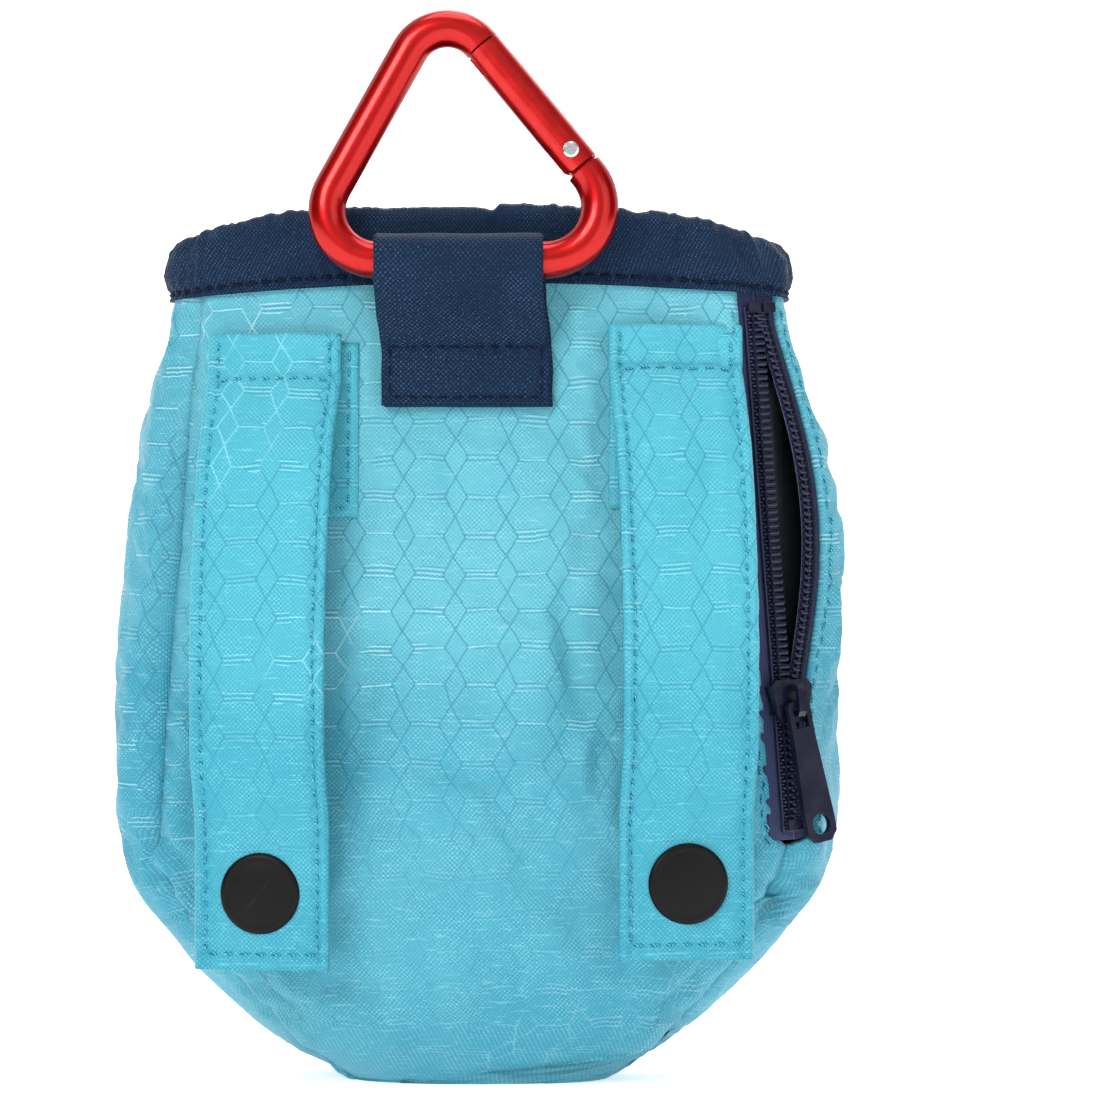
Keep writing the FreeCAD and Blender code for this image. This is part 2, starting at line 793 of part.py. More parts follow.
def loop_outline(sketch, bar_y, bar_z, radius, *foot):
    """A teardrop seen from the side: half a circle over the bar, then straight sides down to the foot's
    corners, which are given from the front round to the back."""
    front, back = (bar_y - radius, bar_z), (bar_y + radius, bar_z)
    points = [front] + list(foot) + [back]
    values = [Vector(a.value, u.value, 0) for a, u in points]
    for start, end in zip(values, values[1:]):
        sketch.addGeometry(Part.LineSegment(start, end))
    crest = Vector(bar_y.value, bar_z.value + radius.value, 0)
    arc = sketch.addGeometry(Part.Arc(values[-1], crest, values[0]))
    for i in range(len(values) - 2):
        sketch.addConstraint(Sketcher.Constraint("Coincident", i, 2, i + 1, 1))
    starts_at_back = sketch.Geometry[arc].StartPoint.distanceToPoint(values[-1]) < 1e-6
    from_back, to_front = (1, 2) if starts_at_back else (2, 1)
    sketch.addConstraint(Sketcher.Constraint("Coincident", arc - 1, 2, arc, from_back))
    sketch.addConstraint(Sketcher.Constraint("Coincident", 0, 1, arc, to_front))
    for i, (across, up) in enumerate(points[:-1]):
        pin_point(sketch, i, 1, across, up)
    pin_point(sketch, arc, 3, bar_y, bar_z)
    constraint = sketch.addConstraint(Sketcher.Constraint("DistanceY", -1, 1, arc, from_back, bar_z.value))
    sketch.setExpression("Constraints[%d]" % constraint, bar_z.text)


# ---------------------------------------------------------------- belt straps and snaps


def strap_path():
    """The strap's inner face below the sewn line: (drop, out) stations."""
    names = ("crown", "chest", "waist", "belly", "snap", "tail")
    return [(size("strap_%s_drop" % name), size("strap_%s_out" % name)) for name in names]


def strap_frame(side):
    """A strap's frame: origin in the middle of its sewn line, Z up, -Y out of the strap."""
    fold = Vector(
        mm(side + "_strap_across"),
        mm("bag_shift") - mm("strap_fold_out"),
        mm("strap_fold_height") + mm(side + "_strap_rise"),
    )
    turn = mm("strap_turn") * (-1 if side == "left" else 1)
    return Placement(fold, Rotation(Vector(0, 0, 1), turn))


def snap_frame(side):
    """A snap's frame: origin on the strap's inner face, Z out of the strap."""
    at = Vector(0, -mm("strap_snap_out"), -mm("snap_drop"))
    return strap_frame(side) * Placement(at, Rotation(Vector(1, 0, 0), 90))


def skin_piece(label, low, high, left, right, bottom, top, frame):
    """A piece of cloth lying on the bag between two heights above its surface, inside an upright rectangle
    of the frame."""
    skin = bag_solid(high).cut(bag_solid(low))
    window = box(left, right, -30, 30, bottom, top)
    window.Placement = frame
    pieces = [s for s in skin.common(window).Solids if s.CenterOfMass.y < 0]
    return solid_feature(label, max(pieces, key=lambda s: s.Volume))


def make_patch(side):
    """The reinforcing patch sewn flat on the back panel under a strap's sewn end."""
    frame = strap_frame(side)
    half = mm("patch_width") / 2
    across = mm(side + "_patch_across") - mm(side + "_strap_across")
    top = mm("strap_top") - 1
    sides = (across - half, across + half, top - mm("patch_length"), top)
    skin_piece(side + "_strap_patch", 0.05, mm("patch_cloth"), *sides, frame)


def make_strap(side):
    """One belt strap: the end sewn to the back panel, and the flap that the snap holds down."""
    frame = strap_frame(side)
    low = mm("patch_cloth") + 0.02
    half = mm("strap_width") / 2
    skin_piece(side + "_strap_sewn_end", low, low + mm("strap_cloth"), -half, half, 0, mm("strap_top"), frame)
    cloth = size("strap_cloth")
    flap = new_body(side + "_belt_strap")
    profile = new_sketch(flap, "YZ")
    inner = [(-out, -drop) for drop, out in strap_path()]
    inner.insert(0, (size("strap_lift") * -1, -size("strap_gap")))
    outer = [(y - cloth, z) for y, z in reversed(inner)]
    polygon(profile, inner + outer)
    pad(flap, profile, "strap_width", both_ways=True)
    bend = runs_along(Vector(1, 0, 0))
    tail = -mm("strap_tail_drop")
    fillet(flap, "strap_bend", lambda edge: bend(edge) and tail + 1 < edge.CenterOfMass.z < -3)
    prong_hole(flap)
    flap.Placement = frame
    make_snap(side)


def prong_hole(flap):
    """The hole that the cap's prong is pressed through."""
    hole = new_sketch(flap, "XZ")
    circle(hole, size("snap_prong_radius") + 0.06, 0, -size("snap_drop"))
    pocket(flap, hole, 60, both_ways=True)


def make_snap(side):
    """Cap and socket on the flap, stud and post on the back panel, each turned about the snap's own Z axis."""
    play = size("snap_clearance")
    prong = size("snap_prong_radius")
    face = size("strap_cloth")
    cap_r, cap_h, crown = size("snap_cap_radius"), size("snap_cap_height"), size("snap_crown")
    cap = (
        (0, -0.5),
        (prong, -0.5),
        (prong, face + 0.02),
        (cap_r, face + 0.02),
        (cap_r, face + cap_h - crown * 2),
        (cap_r - 0.7, face + cap_h - crown),
        (cap_r - 2.4, face + cap_h - crown * 0.4),
        (cap_r - 4.6, face + cap_h),
        (0, face + cap_h),
    )
    socket_r, socket_h = size("snap_socket_radius"), size("snap_socket_height")
    cavity, neck, lip = size("snap_cavity_radius"), size("snap_neck_radius"), size("snap_lip")
    roof = size(-0.6)
    socket = (
        (prong + 0.02, -0.02),
        (socket_r - 0.5, -0.02),
        (socket_r, -0.5),
        (socket_r, -socket_h),
        (neck + 0.3, -socket_h),
        (neck, -socket_h + 0.25),
        (neck, -socket_h + lip),
        (cavity, -socket_h + lip + 0.3),
        (cavity, roof),
        (prong + 0.02, roof),
    )
    stud_r, head_r = size("snap_stud_radius"), size("snap_head_radius")
    flange_r, flange_h = size("snap_flange_radius"), size("snap_flange_height")
    floor = -socket_h - play
    head_top = roof - play
    stud = (
        (prong + 0.02, floor - flange_h),
        (flange_r, floor - flange_h),
        (flange_r, floor - 0.3),
        (flange_r - 0.3, floor),
        (stud_r, floor),
        (stud_r, floor + lip + 0.15),
        (head_r - 0.05, floor + lip + 0.55),
        (head_r - 0.15, head_top - 0.3),
        (head_r - 0.5, head_top),
        (prong + 0.02, head_top),
    )
    post_r, post_h = size("snap_post_radius"), size("snap_post_height")
    bottom = floor - flange_h - "snap_grip"
    post = (
        (0, bottom - post_h + 0.3),
        (post_r - 0.8, bottom - post_h),
        (post_r, bottom - post_h + 0.5),
        (post_r, bottom),
        (prong, bottom),
        (prong, floor),
        (0, floor),
    )
    for kind, outline in (("cap", cap), ("socket", socket), ("stud", stud), ("post", post)):
        turned("%s_snap_%s" % (side, kind), outline).Placement = snap_frame(side)


# ---------------------------------------------------------------- carabiner


def carabiner_spine(sketch):
    """The bent rod's line: nose, apex bend, left arm, left corner, bottom bar, right corner, shoulder."""
    top, end, down = gate_line()
    nose = top + down * (mm("gate_nose_down") - mm("nose_gap"))
    pivot = top + down * mm("gate_pivot_down")
    shoulder = pivot + down * mm("shoulder")
    left_radius = mm("left_corner_radius")
    left = Vector(mm("left_corner_across"), 0, left_radius)
    apex = Vector(mm("apex_across"), 0, mm("apex_height"))
    span = (left - apex).normalize()
    beside = Vector(span.z, 0, -span.x)
    lean = (mm("apex_radius") - left_radius) / (left - apex).Length
    normal = beside * math.sqrt(1 - lean * lean) + span * lean
    arm_top, arm_end = apex + normal * mm("apex_radius"), left + normal * left_radius
    right = Vector(mm("right_corner_across"), 0, mm("right_corner_radius"))
    bar_left, bar_right = Vector(left.x, 0, 0), Vector(right.x, 0, 0)

    def bend(middle, radius, start, finish, turn):
        halfway = ((start - middle) + (finish - middle)).normalize() * radius
        if turn > 180:
            halfway = -halfway
        return Part.Arc(flat(start), flat(middle + halfway), flat(finish))

    def flat(point):
        return Vector(point.x, point.z, 0)

    pieces = (
        Part.LineSegment(flat(nose), flat(top)),
        bend(apex, mm("apex_radius"), top, arm_top, 130),
        Part.LineSegment(flat(arm_top), flat(arm_end)),
        bend(left, left_radius, arm_end, bar_left, 120),
        Part.LineSegment(flat(bar_left), flat(bar_right)),
        bend(right, mm("right_corner_radius"), bar_right, end, 130),
        Part.LineSegment(flat(end), flat(shoulder)),
    )
    for piece in pieces:
        sketch.addGeometry(piece)
    sketch.addConstraint([Sketcher.Constraint("Block", i) for i in range(len(pieces))])


def make_carabiner():
    rod = size("rod_radius")
    body = new_body("carabiner_body")
    spine = new_sketch(body, "XZ")
    carabiner_spine(spine)
    top, end, down = gate_line()
    nose = top + down * (mm("gate_nose_down") - mm("nose_gap"))
    # The rod's round section stands across the nose end of the spine.
    across_nose = Rotation(Vector(0, 0, 1), down)
    section = body.newObject("Sketcher::SketchObject", "carabiner_section")
    section.Placement = Placement(nose, across_nose)
    circle(section, rod)
    doc.recompute()
    pipe = body.newObject("PartDesign::AdditivePipe", "carabiner_rod")
    pipe.Profile = section
    pipe.Spine = (spine, ["Edge%d" % (i + 1) for i in range(7)])
    doc.recompute()

    # Flat tongues at both ends of the rod reach into the gate's slots.
    gate = gate_frame()
    gate_up = gate.Rotation.multVec(Vector(0, 0, 1))
    turn = math.degrees(math.atan2(gate_up.x, gate_up.z))
    in_plane = Placement(Vector(gate.Base.x, gate.Base.z, 0), Rotation(Vector(0, 0, 1), -turn))
    head = size("tongue_head_radius")
    tongue = new_sketch(body, "XZ", offset=in_plane)
    rectangle(tongue, -head, head, -size("shoulder") - 1, 0)
    pad(body, tongue, "tongue_thickness", both_ways=True)
    round_end = new_sketch(body, "XZ", offset=in_plane)
    circle(round_end, head)
    pad(body, round_end, "tongue_thickness", both_ways=True)
    nose_top = size("gate_pivot_down") - "gate_nose_down"
    beak = new_sketch(body, "XZ", offset=in_plane)
    half = size("nose_tongue_half_width")
    polygon(
        beak,
        (
            (-half, nose_top + 1.2),
            (half, nose_top + 1.2),
            (half, nose_top - "nose_tongue" + 1.4),
            (half - 1.6, nose_top - "nose_tongue"),
            (-half + 0.8, nose_top - "nose_tongue" + 0.8),
        ),
    )
    pad(body, beak, "tongue_thickness", both_ways=True)
    bore = new_sketch(body, "XZ", offset=in_plane)
    circle(bore, size("rivet_radius") + 0.01)
    pocket(body, bore, 20, both_ways=True)
    return body


def make_gate():
    gate = new_body("carabiner_gate")
    top = size("gate_pivot_down") - "gate_nose_down"
    foot = size("gate_foot")
    base = new_sketch(gate, "XY", lift=-foot)
    circle(base, "rod_radius")
    pad(gate, base, top + foot)
    slots = new_sketch(gate, "YZ")
    half = size("slot_width") / 2
    rectangle(slots, -half, half, -foot - 1, "foot_slot")
    rectangle(slots, -half, half, top - "nose_slot", top + 1)
    pocket(gate, slots, 20, both_ways=True)
    cut = new_sketch(gate, "XZ")
    rod, chamfer = size("rod_radius"), size("gate_foot_chamfer")
    polygon(cut, ((-rod - 0.1, -foot - 0.1), (-rod + chamfer, -foot - 0.1), (-rod - 0.1, -foot + chamfer)))
    pocket(gate, cut, 20, both_ways=True)
    rivet_hole = new_sketch(gate, "XZ")
    circle(rivet_hole, size("rivet_radius") + "rivet_running_gap")
    pocket(gate, rivet_hole, 20, both_ways=True)
    for sign in (-1, 1):
        seat = new_sketch(gate, "XZ", lift=size("rivet_seat") * sign)
        circle(seat, size("rivet_head_radius") + 0.1)
        pocket(gate, seat, 5, backwards=sign > 0)
    bore = new_sketch(gate, "XY", lift=2.0)
    circle(bore, "spring_bore_radius")
    pocket(gate, bore, size("spring_bore_top") - 2.0, backwards=True)
    return gate


def make_rivet():
    radius, head = size("rivet_radius"), size("rivet_head_radius")
    reach, seat = size("rivet_reach"), size("rivet_seat") + 0.03
    half = (
        (head, seat),
        (head, reach - 0.2),
        (head - 0.4, reach),
        (0, reach),
    )
    other_half = [(r, -h) for r, h in reversed(half)]
    return turned("gate_rivet", other_half + [(radius, -seat), (radius, seat)] + list(half))


def make_gate_spring():
    """A coil spring in the gate's bore that presses a plunger on the round end of the tongue."""
    play = 0.08
    tip = mm("tongue_head_radius") + play
    plunger = turned(
        "gate_plunger",
        (
            (0, tip),
            (size("plunger_radius") - 0.4, tip),
            (size("plunger_radius"), size(tip) + 0.4),
            (size("plunger_radius"), size(tip) + "plunger_length"),
            (0, size(tip) + "plunger_length"),
        ),
    )
    foot = tip + mm("plunger_length") + mm("spring_wire_radius") + play
    coil, wire = mm("spring_coil_radius"), mm("spring_wire_radius")
    helix = Part.makeHelix(mm("spring_pitch"), mm("spring_pitch") * mm("spring_turns"), coil)
    helix.translate(Vector(0, 0, foot))
    section = Part.Wire([Part.makeCircle(wire, Vector(coil, 0, foot), Vector(0, 1, 0))])
    spring = Part.Wire(helix.Edges).makePipeShell([section], True, True)
    return plunger, solid_feature("gate_spring", spring)


def place_carabiner(body, gate, rivet, plunger, spring):
    frame = carabiner_frame()
    body.Placement = frame
    gate.Placement = frame * gate_frame()
    plunger.Placement = frame * gate_frame()
    spring.Placement = frame * gate_frame()
    across = Placement(Vector(), Rotation(Vector(1, 0, 0), 90))
    rivet.Placement = frame * gate_frame() * across


# ---------------------------------------------------------------- zipper


def crescent(label, near, far, low, high):
    """A flat strip beside the meeting line that bows out round the open mouth, from z = low to z = high."""
    face = Part.Face(side_strip(near, far))
    face.translate(Vector(0, 0, low))
    return solid_feature(label, face.extrude(Vector(0, 0, high - low)))


def straight_strip(label, near, far, low, high, start=0.0, length=None):
    """A Part::Box strip along the tape in the zipper's frame."""
    _, full = zip_frame()
    item = doc.addObject("Part::Box", label)
    item.Label = label
    item.setExpression("Length", (size(far) - near).text)
    item.Width = full if length is None else length
    item.setExpression("Height", (size(high) - low).text)
    frame, _ = zip_frame()
    item.Placement = frame * Placement(Vector(size(near).value, start, size(low).value), Rotation())
    return item


def make_zipper():
    frame, length = zip_frame()
    thick, reach = size("tape_thickness"), size("tape_reach")
    coil_in, coil_out, coil_high = size("coil_inner"), size("coil_outer"), size("coil_height")
    straight_strip("back_zip_tape", -reach, -coil_in, -thick, 0)
    straight_strip("back_zip_coil", -coil_out, -coil_in, 0.02, coil_high)
    side_tape = crescent("side_zip_tape", coil_in.value, reach.value, -thick.value, 0)
    side_coil = crescent("side_zip_coil", coil_in.value, coil_out.value, 0.02, coil_high.value)
    for item in (side_tape, side_coil):
        item.Placement = frame
    stop = mm("stop_length")
    low = straight_strip("zip_bottom_stop", -coil_out, coil_out, coil_high + 0.02, coil_high + 0.6, 0.5, stop)
    left_top = box(-3.0, -0.3, length - stop, length - 0.2, mm("coil_height") + 0.02, mm("coil_height") + 0.6)
    right_top = box(0.3, 3.0, length - stop, length - 0.2, mm("coil_height") + 0.02, mm("coil_height") + 0.6)
    tops = solid_feature("zip_top_stops", Part.makeCompound([left_top, right_top]))
    tops.Placement = frame
    return low


def make_slider():
    """The slider: two plates joined by a wedge, side flanges that hold the rows, and the crown on top."""
    frame, _ = zip_frame()
    half_l, narrow, wide = size("slider_length") / 2, size("slider_half_width"), size("slider_top_half_width")
    plate, clear, flange = size("slider_plate"), size("slider_clearance"), size("slider_flange")
    under = -size("tape_thickness") - clear
    over = size("coil_height") + clear
    right_side = (
        (narrow - 0.9, -half_l),
        (narrow, -half_l + 1.6),
        (narrow, -size(0.5)),
        (wide, half_l - 1.2),
        (wide - 1.2, half_l),
    )
    outline = list(right_side) + [(-x, y) for x, y in reversed(right_side)]
    body = new_body("zip_slider")
    sketch = new_sketch(body, "XY", lift=over)
    polygon(sketch, outline)
    pad(body, sketch, plate)
    # The side flanges hang from the top plate down to just above the tape.
    walls = new_sketch(body, "XY", lift=clear)
    wall = list(right_side[1:4]) + [(x - flange, y) for x, y in reversed(right_side[1:4])]
    polygon(walls, wall)
    polygon(walls, [(-x, y) for x, y in wall])
    pad(body, walls, over - clear + 0.2)
    # The wedge parts the rows: the back row runs straight on and the side row is pushed away.
    wedge = new_sketch(body, "XY", lift=under - plate)
    far = half_l - "wedge_length"
    polygon(wedge, ((0.03, half_l), (0.03, far + 1), (0.15, far), (0.5, far + 1.4), (1.1, half_l)))
    pad(body, wedge, over - under + plate + 0.1)
    low = new_sketch(body, "XY", lift=under - plate)
    polygon(low, outline)
    pad(body, low, plate)
    crown(body, over + plate)
    body.Placement = frame * Placement(Vector(0, mm("slider_up"), 0), Rotation())
    return body


def crown(body, base):
    """The staple-shaped crown that the pull hangs from."""
    half, high = size("crown_length") / 2, size("crown_height")
    bar, post = size("crown_bar"), size("crown_post")
    sketch = new_sketch(body, "YZ")
    polygon(
        sketch,
        (
            (-half, base - 0.1),
            (-half + post, base - 0.1),
            (-half + post, base + high - bar),
            (half - post, base + high - bar),
            (half - post, base - 0.1),
            (half, base - 0.1),
            (half, base + high - 0.6),
            (half - 0.9, base + high),
            (-half + 0.9, base + high),
            (-half, base + high - 0.6),
        ),
    )
    pad(body, sketch, "crown_width", both_ways=True)


def pull_frame():
    """The pull's frame: origin on the cross bar in the crown's eye, Y up the pull, Z out."""
    frame, _ = zip_frame()
    base = mm("coil_height") + mm("slider_clearance") + mm("slider_plate")
    out = base + (mm("crown_height") - mm("crown_bar")) / 2
    half = mm("crown_length") / 2
    eye_low = -half + mm("crown_post") + mm("pull_bar_radius") + 0.45
    at = Vector(0, mm("slider_up") + eye_low, out)
    return frame * Placement(at, Rotation(Vector(0, 0, 1), mm("pull_lean")))


def make_pull():
    """The pull tab: a cross bar through the crown, an eye round it, and a tapering blade with a finger ring."""
    pull = new_body("zip_pull")
    eye, neck = size("pull_eye_half_width"), size("pull_neck_half_width")
    wide, long, hole = size("pull_half_width"), size("pull_length"), size("pull_ring_radius")
    thick, top = size("pull_thickness"), size("pull_bar_radius")
    blade = new_sketch(pull, "XY", lift=-thick / 2)
    polygon(
        blade,
        (
            (-neck + 0.7, top),
            (-neck, top - 0.7),
            (-neck, -size("pull_eye_length") - 2),
            (-wide, -long + 5),
            (-wide, -long + 1.6),
            (-wide + 1.6, -long),
            (wide - 1.6, -long),
            (wide, -long + 1.6),
            (wide, -long + 5),
            (neck, -size("pull_eye_length") - 2),
            (neck, top - 0.7),
            (neck - 0.7, top),
        ),
    )
    pad(pull, blade, thick)
    window = new_sketch(pull, "XY")
    rectangle(window, -eye, eye, -size("pull_eye_length"), -top)
    circle(window, hole, 0, -long + hole + 1.3)
    pocket(pull, window, 10, both_ways=True)
    pull.Placement = pull_frame()
    return pull


# ---------------------------------------------------------------- assembly

fill_sheet()
make_bag()
make_lining()
make_rim()
make_loop()
for strap_side in ("left", "right"):
    make_patch(strap_side)
    make_strap(strap_side)
carabiner_body = make_carabiner()
carabiner_gate = make_gate()
gate_rivet = make_rivet()
gate_plunger, gate_spring = make_gate_spring()
place_carabiner(carabiner_body, carabiner_gate, gate_rivet, gate_plunger, gate_spring)
make_zipper()
make_slider()
make_pull()
doc.recompute()


def sub_parts():
    """Every labelled piece, in the document's order."""
    return [o for o in doc.Objects if o.TypeId in ("PartDesign::Body", "Part::Box", "Part::Feature")]


def check_and_export():
    os.makedirs("parts", exist_ok=True)
    for item in doc.Objects:
        if "Invalid" in item.State or "Error" in item.State:
            raise RuntimeError("%s failed: %s" % (item.Label, item.State))
    for item in sub_parts():
        if item.Shape.isNull() or not item.Shape.isValid():
            raise RuntimeError("%s has no valid shape" % item.Label)
    for item in sub_parts():
        item.Shape.exportStep("parts/%s.step" % item.Label)


check_and_export()
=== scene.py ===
import json
import math
from contextlib import contextmanager

import bmesh
import bpy
import numpy as np
from mathutils import Matrix, Vector, noise

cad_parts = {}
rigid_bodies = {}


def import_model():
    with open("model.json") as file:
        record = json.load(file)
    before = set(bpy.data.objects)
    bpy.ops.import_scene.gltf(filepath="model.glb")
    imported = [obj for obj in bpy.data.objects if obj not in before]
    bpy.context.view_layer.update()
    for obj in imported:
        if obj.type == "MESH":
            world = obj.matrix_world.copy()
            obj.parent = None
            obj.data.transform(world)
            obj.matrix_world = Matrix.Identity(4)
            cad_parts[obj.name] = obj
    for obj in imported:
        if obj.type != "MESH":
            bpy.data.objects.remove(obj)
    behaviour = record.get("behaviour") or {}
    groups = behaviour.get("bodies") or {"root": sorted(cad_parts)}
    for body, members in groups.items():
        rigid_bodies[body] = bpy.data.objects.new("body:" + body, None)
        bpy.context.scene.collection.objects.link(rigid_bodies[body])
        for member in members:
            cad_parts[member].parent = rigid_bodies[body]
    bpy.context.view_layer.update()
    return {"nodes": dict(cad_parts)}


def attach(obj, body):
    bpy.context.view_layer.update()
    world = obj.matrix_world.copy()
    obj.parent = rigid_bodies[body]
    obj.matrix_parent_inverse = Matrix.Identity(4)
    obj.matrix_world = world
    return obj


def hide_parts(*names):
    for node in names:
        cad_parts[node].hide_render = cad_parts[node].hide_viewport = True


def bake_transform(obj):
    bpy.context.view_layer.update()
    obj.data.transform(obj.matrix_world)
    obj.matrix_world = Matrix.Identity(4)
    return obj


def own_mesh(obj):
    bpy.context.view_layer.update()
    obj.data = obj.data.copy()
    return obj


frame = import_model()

MM = 0.001

# ------------------------------------------------------------------ sizes, in millimetres
# The bag's middle lies this far along y.
SHIFT = 4.6
# The bag's sections: height, half width, half depth, and the power of the rounded outline.
LEVELS = (
    (0, 24, 15, 2.5),
    (6, 35, 20.5, 2.6),
    (15, 45, 24.5, 2.7),
    (26, 55.5, 27, 2.7),
    (38, 63.8, 28.5, 2.7),
    (54, 67, 29, 2.7),
    (84, 66.8, 28, 2.7),
    (116, 64, 25, 2.7),
    (148, 57.3, 20, 2.6),
    (168, 56.3, 19.5, 2.6),
)
# At each of those heights, how much of a section's back_in counts.
BACK_IN_SHARE = (0, 0, 0.25, 0.6, 1, 1, 1, 1, 0.15, 0)
# Height and half width of the seams' line, and of the zipper's, which takes the right back seam's place.
SEAM = ((-1, 21.6), (6, 34), (26, 51.6), (42, 61.2), (146, 52.2), (170, 52.2))
ZIP_SEAM = ((-1, 21.6), (6, 34), (26, 51.6), (47, 59.4), (146, 52.2), (170, 52.2))
# The ends of the line on which the zipper's halves meet, and how far the zipper faces to the right.
ZIP_FOOT = Vector((59.4, SHIFT - 19.2, 47))
ZIP_HEAD = Vector((52.2, SHIFT - 14.6, 146))
ZIP_TURN = math.radians(33)
# A zipper half's width, the loose half's bow, the slider's place up the zipper and a stop's length.
TAPE_REACH = 5
MOUTH_BOW = 7
SLIDER_UP = 24.5
STOP = 2
# Below the first height the side strips belong to the base. The bag's sections end at the second.
BASE_SEAM = 30
MOUTH = 168


def lerp_table(table, at):
    """The value at a place in a table of (place, value) rows."""
    for (x0, y0), (x1, y1) in zip(table, table[1:]):
        if at <= x1:
            t = max(0, (at - x0) / (x1 - x0))
            return y0 + (y1 - y0) * t
    return table[-1][1]


def smooth_step(a, b, x):
    """0 at a, 1 at b and beyond, smooth between. a may be larger than b."""
    t = min(1, max(0, (x - a) / (b - a)))
    return t * t * (3 - 2 * t)


def eased(knots, values, at):
    """A smooth curve through (knot, value) pairs that never swings past them."""
    gaps = [b - a for a, b in zip(knots, knots[1:])]
    rates = [(b - a) / gap for a, b, gap in zip(values, values[1:], gaps)]
    slopes = [rates[0]]
    slopes += [2 * a * b / (a + b) if a * b > 0 else 0.0 for a, b in zip(rates, rates[1:])]
    slopes.append(rates[-1])
    i = max([k for k in range(len(gaps)) if knots[k] <= at], default=0)
    t = (at - knots[i]) / gaps[i]
    start = (2 * t**3 - 3 * t**2 + 1) * values[i] + (t**3 - 2 * t**2 + t) * gaps[i] * slopes[i]
    end = (3 * t**2 - 2 * t**3) * values[i + 1] + (t**3 - t**2) * gaps[i] * slopes[i + 1]
    return start + end


def bell(x, width):
    """A soft hump: 1 at x = 0 and near 0 beyond twice its width."""
    return math.exp(-((x / width) ** 2))


def wobble(x, y, z):
    """Smooth noise about 0 at a place."""
    return noise.noise(Vector((x, y, z)))


HEIGHTS = [row[0] for row in LEVELS]


def profile(z):
    """Half width, half depth and power of the bag's section at a height."""
    return [eased(HEIGHTS, [row[k] for row in LEVELS], z) for k in (1, 2, 3)]


# ------------------------------------------------------------------ the zipper's own frame
ZIP_UP = (ZIP_HEAD - ZIP_FOOT).normalized()
ZIP_LENGTH = (ZIP_HEAD - ZIP_FOOT).length
_face = Vector((math.sin(ZIP_TURN), -math.cos(ZIP_TURN), 0))
ZIP_ACROSS = ZIP_UP.cross(_face).normalized()
ZIP_FACE = ZIP_ACROSS.cross(ZIP_UP)


def clamp(value, low, high):
    return min(max(value, low), high)


def zip_point(x, y, z):
    """The point that lies x across the zipper, y along it and z out from it."""
    return ZIP_FOOT + ZIP_ACROSS * x + ZIP_UP * y + ZIP_FACE * z


def mouth_bow(along):
    """How far the loose half stands off from the meeting line above the slider."""
    start, end = SLIDER_UP - 1, ZIP_LENGTH - STOP - 1
    if not start < along < end:
        return 0.0
    return MOUTH_BOW * math.sin(math.pi * (along - start) / (end - start)) ** 1.15


# ------------------------------------------------------------------ the bag's sections
def quarter_ring(half_width, half_depth, power, count):
    """A quarter of a rounded section as evenly spaced points, from its side to its middle."""
    turn = np.linspace(0, np.pi / 2, 401)
    x = half_width * np.abs(np.cos(turn)) ** (2 / power)
    y = half_depth * np.sin(turn) ** (2 / power)
    length = np.concatenate([[0], np.cumsum(np.hypot(np.diff(x), np.diff(y)))])
    want = np.linspace(0, length[-1], count + 1)
    return np.column_stack([np.interp(want, length, x), np.interp(want, length, y)])


def zip_share(z):
    """How much a section follows the zipper's flat face: 1 beside it, 0 well above and below."""
    outside = max(ZIP_FOOT.z - z, z - ZIP_HEAD.z, 0)
    t = max(0, 1 - outside / 14)
    return t * t * (3 - 2 * t)


def tape_points(z, grow):
    """Three points at a height on which the two tapes lie."""
    along = (z - ZIP_FOOT.z) / ZIP_UP.z
    line = ZIP_FOOT + ZIP_UP * along + ZIP_FACE * (grow + 0.2)
    far, near = TAPE_REACH + 0.8 + mouth_bow(along), -TAPE_REACH - 1.5
    points = [line + ZIP_ACROSS * place for place in (far, (far + near) / 2, near)]
    return [p - ZIP_UP * ((p.z - z) / ZIP_UP.z) for p in points]


def ring(z, grow=0.0, back_in=0.0, hug=True, count=9, fine=14):
    """A closed section of the bag as (x, y) rows, from its right end round by the back."""
    half_width, half_depth, power = profile(clamp(z, 0, MOUTH))
    back_in *= eased(HEIGHTS, BACK_IN_SHARE, clamp(z, 0, MOUTH))
    q = quarter_ring(half_width + grow, half_depth + grow - back_in, power, count)
    back = np.vstack([q * (1, -1), (q * (-1, -1))[-2::-1]])
    q = quarter_ring(half_width + grow, half_depth + grow, power, count)
    front = np.vstack([(q * (-1, 1))[1:], q[-2:0:-1]])
    points = np.vstack([back, front]) + (0, SHIFT)
    if hug:
        share = zip_share(z)
        for index, target in zip((1, 2, 3), tape_points(z, grow)):
            points[index] = points[index] * (1 - share) + np.array(target[:2]) * share
    return catmull(points, fine)


def catmull(points, fine):
    """A closed smooth line through points."""
    p0, p1, p2, p3 = (np.roll(points, k, axis=0) for k in (1, 0, -1, -2))
    square, cube = 2 * p0 - 5 * p1 + 4 * p2 - p3, 3 * p1 - p0 - 3 * p2 + p3
    steps = np.linspace(0, 1, fine, endpoint=False)
    out = [0.5 * (2 * p1 + (p2 - p0) * t + square * t**2 + cube * t**3) for t in steps]
    return np.stack(out, axis=1).reshape(-1, 2)


def ring_lengths(points):
    closed = np.vstack([points, points[:1]])
    return np.concatenate([[0], np.cumsum(np.hypot(*np.diff(closed, axis=0).T))])


def cross_x(points, lengths, x, back, right):
    """The length along a section at which it crosses x on the back or front and on the right or left."""
    closed = np.vstack([points, points[:1]])
    for i in range(len(points)):
        a, b = closed[i], closed[i + 1]
        if (a[0] - x) * (b[0] - x) <= 0 and a[0] != b[0]:
            is_back = a[1] < SHIFT
            if is_back == back and (x > 0) == right:
                t = (x - a[0]) / (b[0] - a[0])
                return lengths[i] + t * (lengths[i + 1] - lengths[i])
    return None


